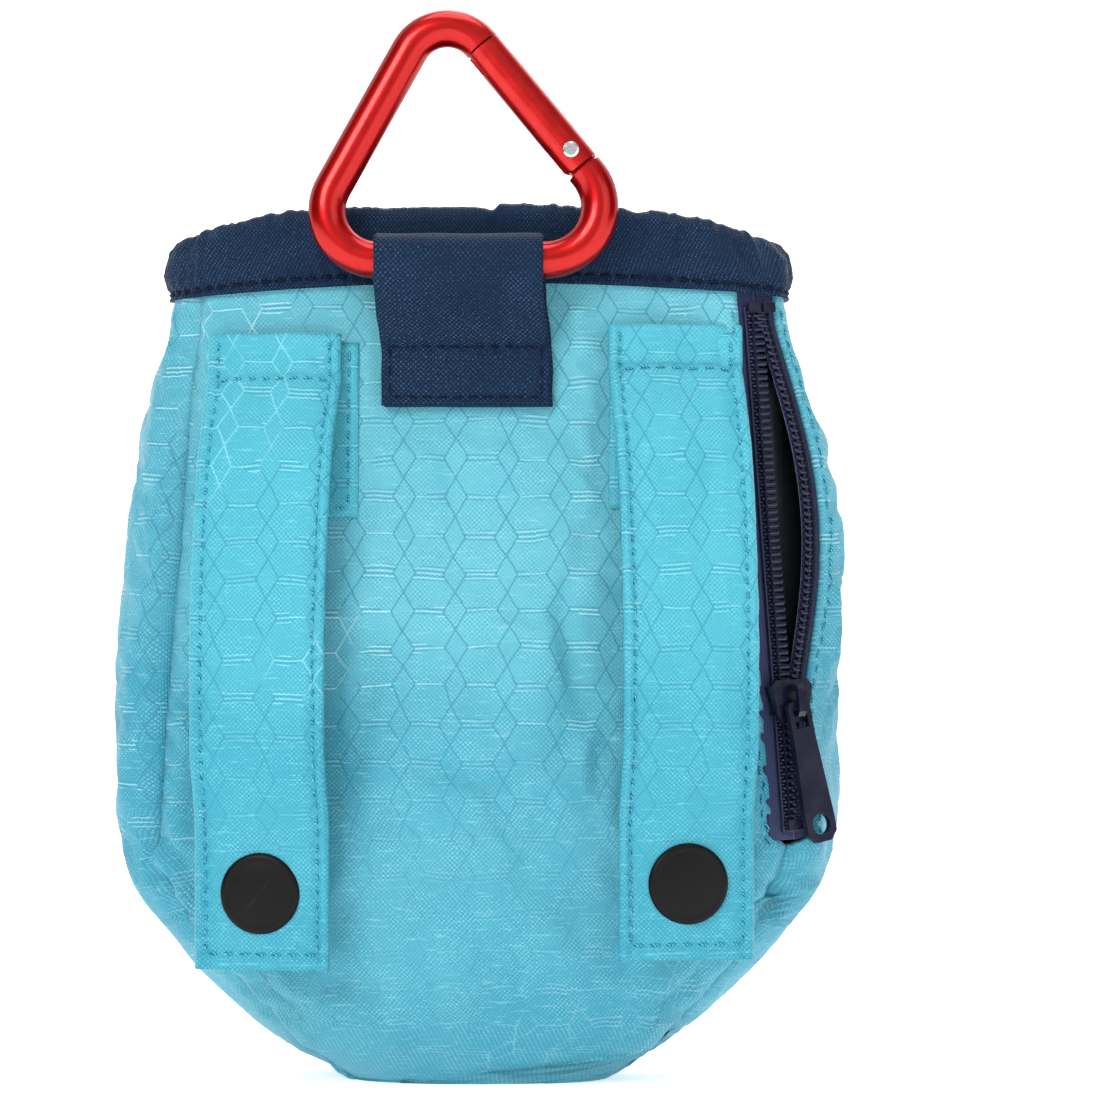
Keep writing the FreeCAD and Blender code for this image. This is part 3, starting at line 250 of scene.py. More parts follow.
def at_length(points, lengths, want):
    """The points at lengths along a section."""
    closed = np.vstack([points, points[:1]])
    total = lengths[-1]
    want = np.mod(want, total)
    return np.column_stack([np.interp(want, lengths, closed[:, 0]), np.interp(want, lengths, closed[:, 1])])


# ------------------------------------------------------------------ mesh helpers
def new_object(name, vertices, faces, uvs=None, smooth=True):
    """vertices in millimetres. uvs maps vertex index to (u, v) in millimetres."""
    mesh = bpy.data.meshes.new(name)
    mesh.from_pydata([tuple(c * MM for c in v) for v in vertices], [], faces)
    if uvs is not None:
        layer = mesh.uv_layers.new(name="UVMap")
        for loop in mesh.loops:
            u, v = uvs[loop.vertex_index]
            layer.data[loop.index].uv = (u * 0.01, v * 0.01)
    mesh.validate()
    mesh.update()
    if smooth:
        mesh.polygons.foreach_set("use_smooth", [True] * len(mesh.polygons))
    obj = bpy.data.objects.new(name, mesh)
    bpy.context.scene.collection.objects.link(obj)
    return obj


def grid_faces(rows, columns, wrap=False, flip=False, offset=0):
    """The faces of a grid of points, row by row. wrap joins each row's end to its start."""
    faces = []
    for r in range(rows - 1):
        for c in range(columns if wrap else columns - 1):
            d = (c + 1) % columns
            quad = (r * columns + c, r * columns + d, (r + 1) * columns + d, (r + 1) * columns + c)
            quad = tuple(offset + i for i in quad)
            faces.append(quad[::-1] if flip else quad)
    return faces


def two_layer_faces(rows, columns):
    """The faces of a closed sheet each of whose rows holds its outer points and then its inner ones."""
    stride = (columns + 1) * 2
    faces = []
    for r in range(rows):
        for layer in (0, 1):
            for c in range(columns):
                i = r * stride + layer * (columns + 1) + c
                faces.append((i, i + 1, i + 1 + stride, i + stride))
        for c in (0, columns):
            i = r * stride + c
            faces.append((i, i + stride, i + stride + columns + 1, i + columns + 1))
    for r in (0, rows):
        for c in range(columns):
            i = r * stride + c
            faces.append((i, i + 1, i + 1 + columns + 1, i + columns + 1))
    return faces


def add_modifier(obj, kind, **settings):
    modifier = obj.modifiers.new(kind.title(), kind)
    for key, value in settings.items():
        setattr(modifier, key, value)
    return modifier


@contextmanager
def mesh_edit(obj):
    """Opens an object's mesh as a bmesh and writes it back."""
    bm = bmesh.new()
    bm.from_mesh(obj.data)
    yield bm
    bm.to_mesh(obj.data)
    bm.free()


def face_out(obj):
    """Turns a closed mesh's faces outwards."""
    with mesh_edit(obj) as bm:
        bmesh.ops.recalc_face_normals(bm, faces=bm.faces)


def apply_modifiers(obj):
    graph = bpy.context.evaluated_depsgraph_get()
    graph.update()
    mesh = bpy.data.meshes.new_from_object(obj.evaluated_get(graph))
    old = obj.data
    obj.modifiers.clear()
    obj.data = mesh
    bpy.data.meshes.remove(old)


def join(objects, name):
    """One object from several, keeping their materials and UV maps."""
    bpy.ops.object.select_all(action="DESELECT")
    for obj in objects:
        obj.select_set(True)
    bpy.context.view_layer.objects.active = objects[0]
    bpy.ops.object.join()
    objects[0].name = name
    objects[0].data.name = name
    return objects[0]


def finish_piece(obj, body, material=None, replaces=()):
    """Gives a piece its material, hides the CAD nodes it replaces and attaches it to the body it rides."""
    if material is not None:
        obj.data.materials.clear()
        obj.data.materials.append(material)
    if replaces:
        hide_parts(*replaces)
    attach(obj, body)


# ------------------------------------------------------------------ node helpers
class Nodes:
    """Short calls for building a material's node tree."""

    def __init__(self, name):
        self.material = bpy.data.materials.new(name)
        self.material.use_nodes = True
        self.tree = self.material.node_tree
        self.shader = self.tree.nodes["Principled BSDF"]

    def add(self, kind, **settings):
        node = self.tree.nodes.new(kind)
        for key, value in settings.items():
            setattr(node, key, value)
        return node

    def link(self, source, target):
        self.tree.links.new(source, target)

    def put(self, socket, value):
        if isinstance(value, bpy.types.NodeSocket):
            self.link(value, socket)
        else:
            socket.default_value = value

    def math(self, operation, a, b=None, c=None, clamp=False):
        node = self.add("ShaderNodeMath", operation=operation, use_clamp=clamp)
        for socket, value in zip(node.inputs, (a, b, c)):
            if value is not None:
                self.put(socket, value)
        return node.outputs[0]

    def times(self, a, b):
        return self.math("MULTIPLY", a, b)

    def plus(self, a, b, clamp=False):
        return self.math("ADD", a, b, clamp=clamp)

    def minus(self, a, b):
        return self.math("SUBTRACT", a, b)

    def vector(self, operation, a, b=None, scale=None):
        node = self.add("ShaderNodeVectorMath", operation=operation)
        self.put(node.inputs[0], a)
        if b is not None:
            self.put(node.inputs[1], b)
        if scale is not None:
            self.put(node.inputs["Scale"], scale)
        return node.outputs[0]

    def mix(self, share, a, b):
        node = self.add("ShaderNodeMix", data_type="RGBA")
        self.put(node.inputs[0], share)
        self.put(node.inputs[6], a)
        self.put(node.inputs[7], b)
        return node.outputs[2]

    def ramp(self, value, low, high, to_low=0.0, to_high=1.0, smooth=True):
        node = self.add("ShaderNodeMapRange", interpolation_type="SMOOTHSTEP" if smooth else "LINEAR")
        for socket, v in zip(node.inputs, (value, low, high, to_low, to_high)):
            self.put(socket, v)
        return node.outputs[0]

    def noise(self, vector, scale, detail=3.0, roughness=0.5):
        node = self.add("ShaderNodeTexNoise")
        self.put(node.inputs["Vector"], vector)
        for key, v in (("Scale", scale), ("Detail", detail), ("Roughness", roughness)):
            node.inputs[key].default_value = v
        return node.outputs[0]

    def bump(self, height, strength, distance, normal=None):
        node = self.add("ShaderNodeBump")
        node.inputs["Strength"].default_value = strength
        node.inputs["Distance"].default_value = distance
        self.put(node.inputs["Height"], height)
        if normal is not None:
            self.put(node.inputs["Normal"], normal)
        return node.outputs[0]

    def position(self):
        """Object-space position in millimetres."""
        return self.vector("SCALE", self.add("ShaderNodeTexCoord").outputs["Object"], scale=1000.0)

    def uv(self):
        """The UV map's position in millimetres."""
        return self.vector("SCALE", self.add("ShaderNodeTexCoord").outputs["UV"], scale=100.0)

    def split(self, vector):
        node = self.add("ShaderNodeSeparateXYZ")
        self.put(node.inputs[0], vector)
        return node.outputs

    def join(self, x, y, z=0.0):
        node = self.add("ShaderNodeCombineXYZ")
        for socket, v in zip(node.inputs, (x, y, z)):
            self.put(socket, v)
        return node.outputs[0]

    def surface(self, **values):
        for key, value in values.items():
            self.put(self.shader.inputs[key.replace("_", " ")], value)


def rgb(red, green, blue):
    """A shader colour from 0 to 255 screen values."""
    parts = [((c / 255 + 0.055) / 1.055) ** 2.4 if c > 10 else c / 255 / 12.92 for c in (red, green, blue)]
    return (*parts, 1.0)


def weave_height(n, uv, pitch):
    """A plain weave: threads over and under each other, pitch apart. Returns its height and which thread is
    on top, both from 0 to 1."""
    x, y, _ = n.split(n.vector("SCALE", uv, scale=math.pi / pitch))
    wave_x, wave_y = n.math("SINE", x), n.math("SINE", y)
    over = n.math("MULTIPLY_ADD", n.times(wave_x, wave_y), 0.5, 0.5)
    ridge = n.times(n.math("ABSOLUTE", wave_x), n.math("ABSOLUTE", wave_y))
    return ridge, over


NET_WIDE, NET_TALL, NET_SLANT = 9.6, 7.1, 2.1


def hex_net(n, uv):
    """The ripstop net: columns of flat-topped hexagons touching at their side corners, with diamonds between.
    Returns the distances in mm to the slanting lines and to the level ones, and 1 inside a hexagon."""
    x, y, _ = n.split(uv)
    x = n.math("ABSOLUTE", n.minus(n.math("FLOORED_MODULO", x, NET_WIDE), NET_WIDE / 2))
    y = n.math("ABSOLUTE", n.minus(n.math("FLOORED_MODULO", y, NET_TALL), NET_TALL / 2))
    long = math.hypot(NET_TALL / 2, NET_SLANT)
    beyond = n.plus(n.times(n.minus(x, NET_WIDE / 2), NET_TALL / 2 / long),
                    n.times(y, NET_SLANT / long))
    inside = n.math("LESS_THAN", beyond, 0.0)
    return n.math("ABSOLUTE", beyond), n.minus(NET_TALL / 2, y), inside


def ripstop(name, colour, light, dark, line_light, line_dark):
    """Coated ripstop: a plain weave whose threads catch the light, with a net of thin slanting lines and of
    level floats of bright thread. The net and the weave show more in some places than in others."""
    n = Nodes(name)
    uv = n.uv()
    drift = n.noise(n.vector("SCALE", uv, scale=0.05), 1.0, 2.0)
    bent = n.vector("ADD", uv, n.vector("SCALE", n.join(drift, n.minus(1.0, drift)), scale=3.0))
    slant, level, inside = hex_net(n, bent)
    shaken = n.vector("ADD", uv, n.vector("SCALE", n.join(drift, drift), scale=1.5))
    ridge, over = weave_height(n, shaken, 0.44)
    speck = n.noise(uv, 2.2, 2.0, 0.7)
    slub = n.noise(n.vector("MULTIPLY", uv, (0.2, 1.6, 1.0)), 1.0, 2.0, 0.6)
    cloud = n.noise(n.position(), 0.03, 3.0, 0.6)
    blotch = n.ramp(n.noise(uv, 0.16, 3.0, 0.6), 0.36, 0.6, 0.3, 1.0)
    x, _, z = n.split(n.position())
    # The cloth darkens in random clouds, its own uneven tone, and with painted shade towards the bottom, from
    # z 92 mm down to 58 mm, and on the sides beyond 50 mm from the middle.
    painted_shade_and_tone = n.plus(n.times(n.ramp(cloud, 0.3, 0.7), 0.35), n.ramp(z, 92.0, 58.0, 0.0, 0.55), clamp=True)
    painted_shade_and_tone = n.plus(painted_shade_and_tone, n.ramp(n.math("ABSOLUTE", x), 50.0, 60.0, 0.0, 0.45), clamp=True)
    base = n.mix(painted_shade_and_tone, colour, dark)
    glint = n.times(n.ramp(over, 0.5, 0.9), n.ramp(speck, 0.35, 0.65, 0.1, 1.0))
    base = n.mix(n.times(n.times(glint, blotch), 0.75), base, light)
    shade = n.times(n.ramp(over, 0.45, 0.1), n.ramp(speck, 0.65, 0.35, 0.15, 0.8))
    base = n.mix(n.times(shade, blotch), base, dark)
    base = n.mix(n.times(n.ramp(slub, 0.58, 0.72), 0.4), base, light)
    # Beside each level line lie up to three bright floats with dark between them.
    patch = n.noise(n.position(), 0.024, 2.0, 0.5)
    bright_place = n.ramp(patch, 0.4, 0.62, 0.2, 0.9)
    fade = n.times(n.ramp(z, 30.0, 70.0, 0.3, 1.0), n.ramp(speck, 0.3, 0.55, 0.35, 1.0))
    reach = n.ramp(n.noise(bent, 0.11, 1.0), 0.42, 0.62, 0.35, 1.3)
    near_level = n.times(n.math("LESS_THAN", level, reach), inside)
    thread_wave = n.math("COSINE", n.times(level, 2 * math.pi / 0.85))
    strength = n.times(n.times(near_level, fade), bright_place)
    floats = n.times(strength, n.ramp(thread_wave, 0.3, 0.95))
    gaps = n.times(n.times(near_level, fade), n.ramp(thread_wave, -0.1, -0.9, 0.0, 0.6))
    base = n.mix(floats, base, line_light)
    base = n.mix(gaps, base, line_dark)
    thin = n.times(n.ramp(slant, 0.22, 0.06), fade)
    tone = n.mix(n.ramp(patch, 0.57, 0.66), line_dark, line_light)
    base = n.mix(n.times(thin, 0.75), base, tone)
    rough = n.ramp(n.plus(over, n.times(floats, 0.4)), 0.0, 1.0, 0.62, 0.44)
    height = n.plus(n.times(ridge, 0.7),
                    n.minus(n.times(floats, 0.6), n.times(thin, 0.4)))
    n.surface(Base_Color=base, Roughness=rough, Normal=n.bump(height, 0.6, 0.00018))
    n.surface(Sheen_Weight=0.08, Sheen_Roughness=0.4, Specular_IOR_Level=0.4)
    return n.material


def oxford(name, dark, light, pitch=0.6):
    """A heavier weave: painted glints on the threads that lie on top make bright specks on a dark ground."""
    n = Nodes(name)
    uv = n.uv()
    ridge, over = weave_height(n, uv, pitch)
    speck = n.noise(uv, 2.4, 2.0, 0.7)
    cloud = n.noise(n.position(), 0.07, 3.0, 0.6)
    # Painted glints where a thread lies on top, stronger in some clouds than in others.
    glint = n.times(n.ramp(over, 0.4, 0.95), n.ramp(speck, 0.35, 0.72))
    share = n.times(glint, n.ramp(cloud, 0.3, 0.7, 0.3, 1.0))
    n.surface(Base_Color=n.mix(share, dark, light), Roughness=n.ramp(over, 0, 1, 0.68, 0.5))
    n.surface(Normal=n.bump(ridge, 0.6, 0.0002))
    n.surface(Specular_IOR_Level=0.18, Specular_Tint=(0.5, 0.7, 1.0, 1))
    return n.material


def thread(name, colour, light):
    """Twisted sewing thread."""
    n = Nodes(name)
    x, y, z = n.split(n.position())
    twist = n.math("SINE", n.times(n.plus(n.plus(x, y), z), 9.0))
    n.surface(Base_Color=n.mix(n.ramp(twist, -0.6, 0.9), colour, light), Roughness=0.45)
    n.surface(Normal=n.bump(twist, 0.4, 0.00008))
    n.surface(Specular_IOR_Level=0.12)
    return n.material


def coated(name, colour, roughness, fleck=0.04, coat=0.0, metallic=0.0, grain=1.2, shine=0.5, rim=(1, 1, 1)):
    """Enamel, moulded plastic or anodised metal with faint unevenness, dust and worn edges."""
    n = Nodes(name)
    position = n.position()
    cloud = n.noise(position, 0.25, 4.0, 0.6)
    fine = n.noise(position, grain * 6, 2.0, 0.7)
    lift = tuple(min(1, c * 1.35 + 0.012) for c in colour[:3]) + (1.0,)
    edge = n.add("ShaderNodeNewGeometry").outputs["Pointiness"]
    worn = n.times(n.ramp(edge, 0.53, 0.6), n.ramp(cloud, 0.35, 0.65, 0.2, 0.9))
    n.surface(Base_Color=n.mix(n.math("MULTIPLY_ADD", worn, 0.55, n.times(cloud, 0.2)), colour, lift))
    n.surface(Roughness=n.plus(n.ramp(cloud, 0.3, 0.7, roughness - fleck, roughness + fleck),
                               n.times(fine, 0.05)))
    n.surface(Normal=n.bump(n.plus(fine, n.times(cloud, 0.5)), 0.12, 0.00006))
    n.surface(Metallic=metallic, Specular_IOR_Level=shine, Specular_Tint=(*rim, 1))
    n.surface(Coat_Weight=coat, Coat_Roughness=0.14)
    return n.material


def tape_cloth(name, colour, light):
    """Zipper tape: a ribbed warp knit."""
    n = Nodes(name)
    uv = n.uv()
    x, y, _ = n.split(n.vector("SCALE", uv, scale=math.pi / 0.6))
    rib = n.math("ABSOLUTE", n.math("SINE", x))
    loop = n.math("ABSOLUTE", n.math("SINE", n.plus(y, n.times(rib, 1.2))))
    height = n.math("MULTIPLY_ADD", rib, 0.5, n.times(loop, 0.4))
    n.surface(Base_Color=n.mix(n.ramp(height, 0.2, 0.9), colour, light), Roughness=0.75)
    n.surface(Normal=n.bump(height, 0.5, 0.00015))
    n.surface(Sheen_Weight=0.3)
    return n.material


def smooth_cloth(name, colour, light):
    """Gives a bowed piece a mesh of its own."""
    n = Nodes(name)
    weave, _ = weave_height(n, n.uv(), 0.5)
    cloud = n.noise(n.position(), 0.08, 3.0, 0.6)
    n.surface(Base_Color=n.mix(n.math("MULTIPLY_ADD", weave, 0.3, n.times(cloud, 0.5)), colour, light))
    n.surface(Roughness=n.ramp(cloud, 0.3, 0.7, 0.45, 0.6), Normal=n.bump(weave, 0.3, 0.0001))
    return n.material


def metal(name, colour, roughness):
    """Bare drawn metal with fine lines."""
    n = Nodes(name)
    position = n.vector("MULTIPLY", n.position(), (1.0, 1.0, 14.0))
    streak = n.noise(position, 1.0, 3.0, 0.6)
    n.surface(Base_Color=colour, Roughness=n.ramp(streak, 0.3, 0.7, roughness - 0.07, roughness + 0.08))
    n.surface(Normal=n.bump(streak, 0.1, 0.00005))
    n.surface(Metallic=1.0)
    return n.material


TEAL = ripstop(
    "teal ripstop",
    colour=rgb(92, 176, 192),
    light=rgb(142, 204, 212),
    dark=rgb(42, 142, 166),
    line_light=rgb(168, 220, 226),
    line_dark=rgb(36, 124, 148),
)
TEAL_STRAP = ripstop(
    "strap ripstop",
    colour=rgb(68, 170, 188),
    light=rgb(118, 202, 213),
    dark=rgb(38, 144, 168),
    line_light=rgb(130, 206, 216),
    line_dark=rgb(36, 132, 156),
)
NAVY = oxford("navy oxford", rgb(12, 30, 54), rgb(72, 98, 130), pitch=0.46)
TEAL_THREAD = thread("teal thread", rgb(12, 104, 132), rgb(96, 190, 206))
NAVY_THREAD = thread("navy thread", rgb(2, 5, 18), rgb(18, 28, 58))
LINING = smooth_cloth("lining cloth", rgb(24, 27, 33), rgb(44, 48, 56))
TAPE = tape_cloth("zipper tape", rgb(10, 17, 48), rgb(30, 44, 94))
COIL = coated("zipper nylon", rgb(11, 16, 48), 0.34, grain=2.0, shine=0.45)
SLIDER = coated("slider enamel", rgb(5, 8, 32), 0.25, coat=0.15, shine=0.4)
PULL = coated("pull enamel", rgb(7, 11, 34), 0.34, coat=0.04, shine=0.25)
RED = coated("red anodised", rgb(180, 11, 10), 0.3, fleck=0.04, metallic=0.85, coat=0.5, rim=(0.12, 0.0, 0.0))
STEEL = metal("bright steel", rgb(205, 205, 208), 0.25)
BLACK = coated("black enamel", rgb(6, 6, 7), 0.4, shine=0.16)
ELASTIC = tape_cloth("elastic", rgb(20, 24, 36), rgb(44, 50, 66))


# ------------------------------------------------------------------ stitches
# The rings of one stitch: place along it, height and thickness, as shares of its own.
STITCH_RINGS = (
    (-0.5, -1.0, 0.55),
    (-0.36, -0.1, 0.9),
    (-0.15, 0.75, 1.0),
    (0.15, 0.75, 1.0),
    (0.36, -0.1, 0.9),
    (0.5, -1.0, 0.55),
)


def stitch_mesh(name, path, normals, pitch=2.9, length=2.2, radius=0.26, dip=0.22, material=None, lift=0.0):
    """Lockstitches along a path: each is a short thread that rises out of the cloth and dives back in."""
    points = [Vector(p) for p in path]
    lengths = [0.0]
    for a, b in zip(points, points[1:]):
        lengths.append(lengths[-1] + (b - a).length)
    count = max(1, round(lengths[-1] / pitch))
    step = lengths[-1] / count
    length *= step / pitch

    def place(at):
        at = min(max(at, 0), lengths[-1] - 1e-6)
        i = next(k for k in range(len(lengths) - 1) if lengths[k + 1] > at)
        t = (at - lengths[i]) / (lengths[i + 1] - lengths[i])
        normal = Vector(normals[i]).lerp(Vector(normals[i + 1]), t).normalized()
        return points[i].lerp(points[i + 1], t), normal

    vertices, faces = [], []
    sides = 6
    for k in range(count):
        middle = (k + 0.5) * step
        rings = []
        for share, up, thick in STITCH_RINGS:
            p, normal = place(middle + share * length)
            ahead, _ = place(middle + share * length + 0.05)
            behind, _ = place(middle + share * length - 0.05)
            along = (ahead - behind).normalized()
            side = along.cross(normal).normalized()
            centre = p + normal * (lift + dip * up)
            turns = [2 * math.pi * s / sides for s in range(sides)]
            spokes = [side * math.cos(turn) + normal * math.sin(turn) * 0.8 for turn in turns]
            rings.append([centre + spoke * radius * thick for spoke in spokes])
        base = len(vertices)
        for r in rings:
            vertices += [tuple(v) for v in r]
        faces += grid_faces(len(rings), sides, wrap=True, offset=base)
        faces.append(tuple(base + s for s in range(sides))[::-1])
        faces.append(tuple(base + (len(rings) - 1) * sides + s for s in range(sides)))
    obj = new_object(name, vertices, faces, uvs=[(0, 0)] * len(vertices))
    if material is not None:
        obj.data.materials.append(material)
    return obj


# ------------------------------------------------------------------ camera, light and floor
def set_stage():
    """A pale sheet that sweeps up behind the pouch, four soft lamps and the camera, all in metres."""
    floor_half, floor_top, wall, wall_top, sweep = 3.0, -0.0003, 1.6, 3.5, 0.8
    vertices, rows = [], 40
    profile_line = [(-floor_half, floor_top)]
    for i in range(rows + 1):
        turn = math.pi / 2 * i / rows
        profile_line.append((wall - sweep + sweep * math.sin(turn), floor_top + sweep * (1 - math.cos(turn))))
    profile_line.append((wall, wall_top))
    for y, z in profile_line:
        for x in (-floor_half * 1.6, floor_half * 1.6):
            vertices.append((x / MM, y / MM, z / MM))
    backdrop = new_object("backdrop", vertices, grid_faces(len(profile_line), 2, flip=True))
    n = Nodes("paper")
    cloud = n.noise(n.position(), 0.002, 2.0)
    n.surface(Base_Color=n.mix(cloud, (0.86, 0.86, 0.87, 1), (0.9, 0.9, 0.9, 1)), Roughness=0.9)
    n.surface(Emission_Color=(1, 1, 1, 1), Emission_Strength=0.55)
    backdrop.data.materials.append(n.material)

    def area(name, place, aim, size, power, colour=(1, 1, 1)):
        light = bpy.data.lights.new(name, "AREA")
        light.shape = "RECTANGLE"
        light.size, light.size_y = size
        light.energy = power
        light.color = colour
        lamp = bpy.data.objects.new(name, light)
        lamp.location = place
        lamp.rotation_euler = (Vector(aim) - Vector(place)).to_track_quat("-Z", "Y").to_euler()
        bpy.context.scene.collection.objects.link(lamp)

    area("key light", (-0.7, -1.2, 0.95), (0, 0, 0.09), (0.7, 0.7), 15, (1, 0.99, 0.98))
    area("fill light", (1.2, -1.2, 0.5), (0, 0, 0.09), (1.2, 1.2), 6, (0.96, 0.98, 1))
    area("top light", (0.1, 0.1, 1.5), (0, 0, 0.1), (1.0, 1.0), 11)
    area("back light", (0.3, 1.3, 1.2), (0, 0, 0.3), (1.5, 0.8), 8)
    world = bpy.data.worlds.new("studio")
    bpy.context.scene.world = world
    world.use_nodes = True
    nodes, links = world.node_tree.nodes, world.node_tree.links
    # Dark flags stand at both sides of the studio.
    split = nodes.new("ShaderNodeSeparateXYZ")
    links.new(nodes.new("ShaderNodeTexCoord").outputs["Generated"], split.inputs[0])
    aside = nodes.new("ShaderNodeMath")
    aside.operation = "ABSOLUTE"
    links.new(split.outputs[0], aside.inputs[0])
    flags = nodes.new("ShaderNodeMapRange")
    for key, value in zip(("From Min", "From Max", "To Min", "To Max"), (0.45, 0.8, 0.62, 0.08)):
        flags.inputs[key].default_value = value
    links.new(aside.outputs[0], flags.inputs["Value"])
    nodes["Background"].inputs[0].default_value = (0.95, 0.97, 1.0, 1)
    links.new(flags.outputs[0], nodes["Background"].inputs[1])

    camera = bpy.data.cameras.new("camera")
    camera.sensor_width = 36
    # The picture is this wide where the pouch's back is, this far away from the camera.
    across, away = 0.2035, 0.95
    camera.lens = 36 / across * away
    camera.clip_end = 20
    eye = bpy.data.objects.new("camera", camera)
    eye.location = (0.0137, -0.022 - away, 0.0997)
    eye.rotation_euler = (math.radians(90), 0, 0)
    bpy.context.scene.collection.objects.link(eye)
    bpy.context.scene.camera = eye
    bpy.context.scene.view_settings.view_transform = "Standard"


# ------------------------------------------------------------------ the bag's cloth
def seam_relief(z, near, salt):
    """The pinch at a seam, the swell beside it and its small puckers, in mm, near mm from the seam."""
    depth = 0.9 + 1.4 * smooth_step(128, 100, z) * smooth_step(20, 44, z)
    pinch = -depth * bell(near, 1.9)
    swell = 0.5 * depth * bell(near - 6, 4)
    beat = math.sin(z * 1.25 + 3 * wobble(z * 0.1, salt, 9))
    pucker = 0.4 * beat * smooth_step(0, 2.5, near) * bell(near - 2.5, 3)
    return pinch + swell + pucker


def gathers(along, z):
    """The soft pleats that the gathered mouth makes just below the rim."""
    beat = math.sin(along * 0.62 + 2.2 * wobble(along * 0.05, z * 0.015, 2))
    return 0.5 * beat * smooth_step(118, 144, z) * (1 - smooth_step(144, 148, z))


def slack_folds(x, y, z):
    """Broad hollows and soft folds of slack cloth."""
    broad = wobble(x * 0.035 + 3.1, y * 0.05 + 7.7, z * 0.028 + 1.3) * 1.1
    ridge = 0.5 - abs(wobble(x * 0.1 + 11, y * 0.1 + 2, z * 0.05 + 5))
    return (broad + ridge * 0.5 + noise.noise(Vector((x, y, z)) * 0.21) * 0.2) * smooth_step(149, 141, z)


def crease(x, z, line, width, depth):
    """A crease along a line of (x, z) points seen from the back: a valley with a soft ridge beside it."""
    best, side = 1e9, 1
    for (x0, z0), (x1, z1) in zip(line, line[1:]):
        dx, dz = x1 - x0, z1 - z0
        t = min(1, max(0, ((x - x0) * dx + (z - z0) * dz) / (dx * dx + dz * dz)))
        away = math.hypot(x - x0 - dx * t, z - z0 - dz * t)
        if away < best:
            best, side = away, 1 if (x - x0) * dz - (z - z0) * dx > 0 else -1
    ridge = 0.5 * bell(side * best - width * 1.6, width * 1.1)
    return depth * (ridge - bell(best, width))


# Each crease of the back: its line, how wide it is and how deep.
BACK_CREASES = (
    (((-52, 70), (-47, 60), (-38, 52)), 2.0, 1.1),
    (((-58, 46), (-51, 36), (-41, 29)), 1.8, 1.7),
    (((-50, 29), (-42, 21), (-35, 13)), 2.0, 1.4),
    (((57, 52), (50, 44), (45, 34)), 2.0, 1.2),
    (((53, 33), (45, 24), (35, 14)), 1.9, 1.4),
    (((-21, 98), (-18, 86), (-20, 72)), 2.4, 0.8),
    (((20, 102), (16, 88), (19, 72)), 2.4, 0.8),
    (((-13, 60), (2, 56), (15, 62)), 2.8, 0.6),
    (((-55, 132), (-52, 118), (-54, 100)), 2.2, 0.9),
)


def fitting_room(x, y, z):
    """How free the cloth is to fold at a place: 0 under what is sewn or riveted to it, 1 well away."""
    if y > 0:
        return 1.0
    tab = smooth_step(21, 16, abs(x - LOOP_ACROSS)) * smooth_step(116, 124, z)
    free = 1 - tab
    for middle, low in ((-34, 104), (36.9, 104)):
        free = min(free, 1 - smooth_step(18, 12, abs(x - middle)) * smooth_step(low - 8, low, z))
    for middle, height in ((-37.4, 36.5), (36.9, 38.3)):
        free = min(free, smooth_step(5, 13, math.hypot(x - middle, z - height)))
    if x > 35 and z > 38:
        free = min(free, 0.12 + 0.88 * smooth_step(6, 17, abs(zip_offset((x, y, z)))))
    return free


def outward(points, lengths, want):
    """Unit vectors pointing out of a section at lengths along it."""
    tangent = at_length(points, lengths, want + 0.3) - at_length(points, lengths, want - 0.3)
    tangent /= np.linalg.norm(tangent, axis=1)[:, None]
    return np.column_stack([tangent[:, 1], -tangent[:, 0]]) * -1


SEAM_ALLOWANCE = 2.2


def panel_grid(heights, boundary, columns, relief):
    """Vertices and UVs of a panel whose edges are boundary(z) lengths along each section. relief(point,
    from_start, to_end, along) says how far the cloth stands out. One more column at each edge is the seam
    allowance, which turns in."""
    vertices, uvs = [], []
    climbed, last = 0.0, None
    rings = [ring(z) for z in heights]
    spans = np.array([boundary(z, points, ring_lengths(points)) for z, points in zip(heights, rings)])
    # An edge may step at the zipper's foot. Only the columns beside it follow the step.
    soft_spans = [spans[max(0, i - 9) : i + 10].mean(axis=0) for i in range(len(spans))]
    shares = np.linspace(0, 1, columns)
    near_start = np.array([smooth_step(0.22, 0, t) for t in shares])
    near_end = np.array([smooth_step(0.78, 1, t) for t in shares])
    for z, points, (start, end), (soft_start, soft_end) in zip(heights, rings, spans, soft_spans):
        lengths = ring_lengths(points)
        want = soft_start + (soft_end - soft_start) * shares
        want = want + (start - soft_start) * near_start + (end - soft_end) * near_end
        line = at_length(points, lengths, want)
        outs = outward(points, lengths, want)
        middle = (soft_start + soft_end) / 2
        here = Vector((*line[columns // 2], z))
        climbed += (here - last).length if last is not None else 0.0
        last = here
        low, high = profile(clamp(z, 0, MOUTH - 1)), profile(clamp(z, 0, MOUTH - 1) + 1)
        slope = (low[0] - high[0] + low[1] - high[1]) * 0.5
        for k in [0] + list(range(columns)) + [columns - 1]:
            base = Vector((*line[k], z))
            depth = relief(base, want[k] - start, end - want[k], want[k]) * smooth_step(0.5, 5, z)
            room = fitting_room(*base)
            depth *= room if depth > 0 else 0.3 + 0.7 * room
            if len(vertices) % (columns + 2) in (0, columns + 1):
                depth -= SEAM_ALLOWANCE
            normal = Vector((*outs[k], slope)).normalized()
            vertices.append(base + normal * depth)
            uvs.append((want[k] - middle + 400, climbed))
    return vertices, uvs


def back_relief(p, from_start, to_end, along):
    near = min(from_start, to_end)
    depth = slack_folds(*p) + seam_relief(p.z, near, 1.0) + gathers(along, p.z)
    creases = sum(crease(p.x, p.z, *facts) for facts in BACK_CREASES)
    return depth + creases * smooth_step(0, 3, near)


def front_relief(p, from_start, to_end, along):
    near = min(from_start, to_end)
    slack = slack_folds(*p) * (1 + 0.5 * smooth_step(2, 12, near))
    return slack + seam_relief(p.z, near, 7.0) + gathers(along, p.z)


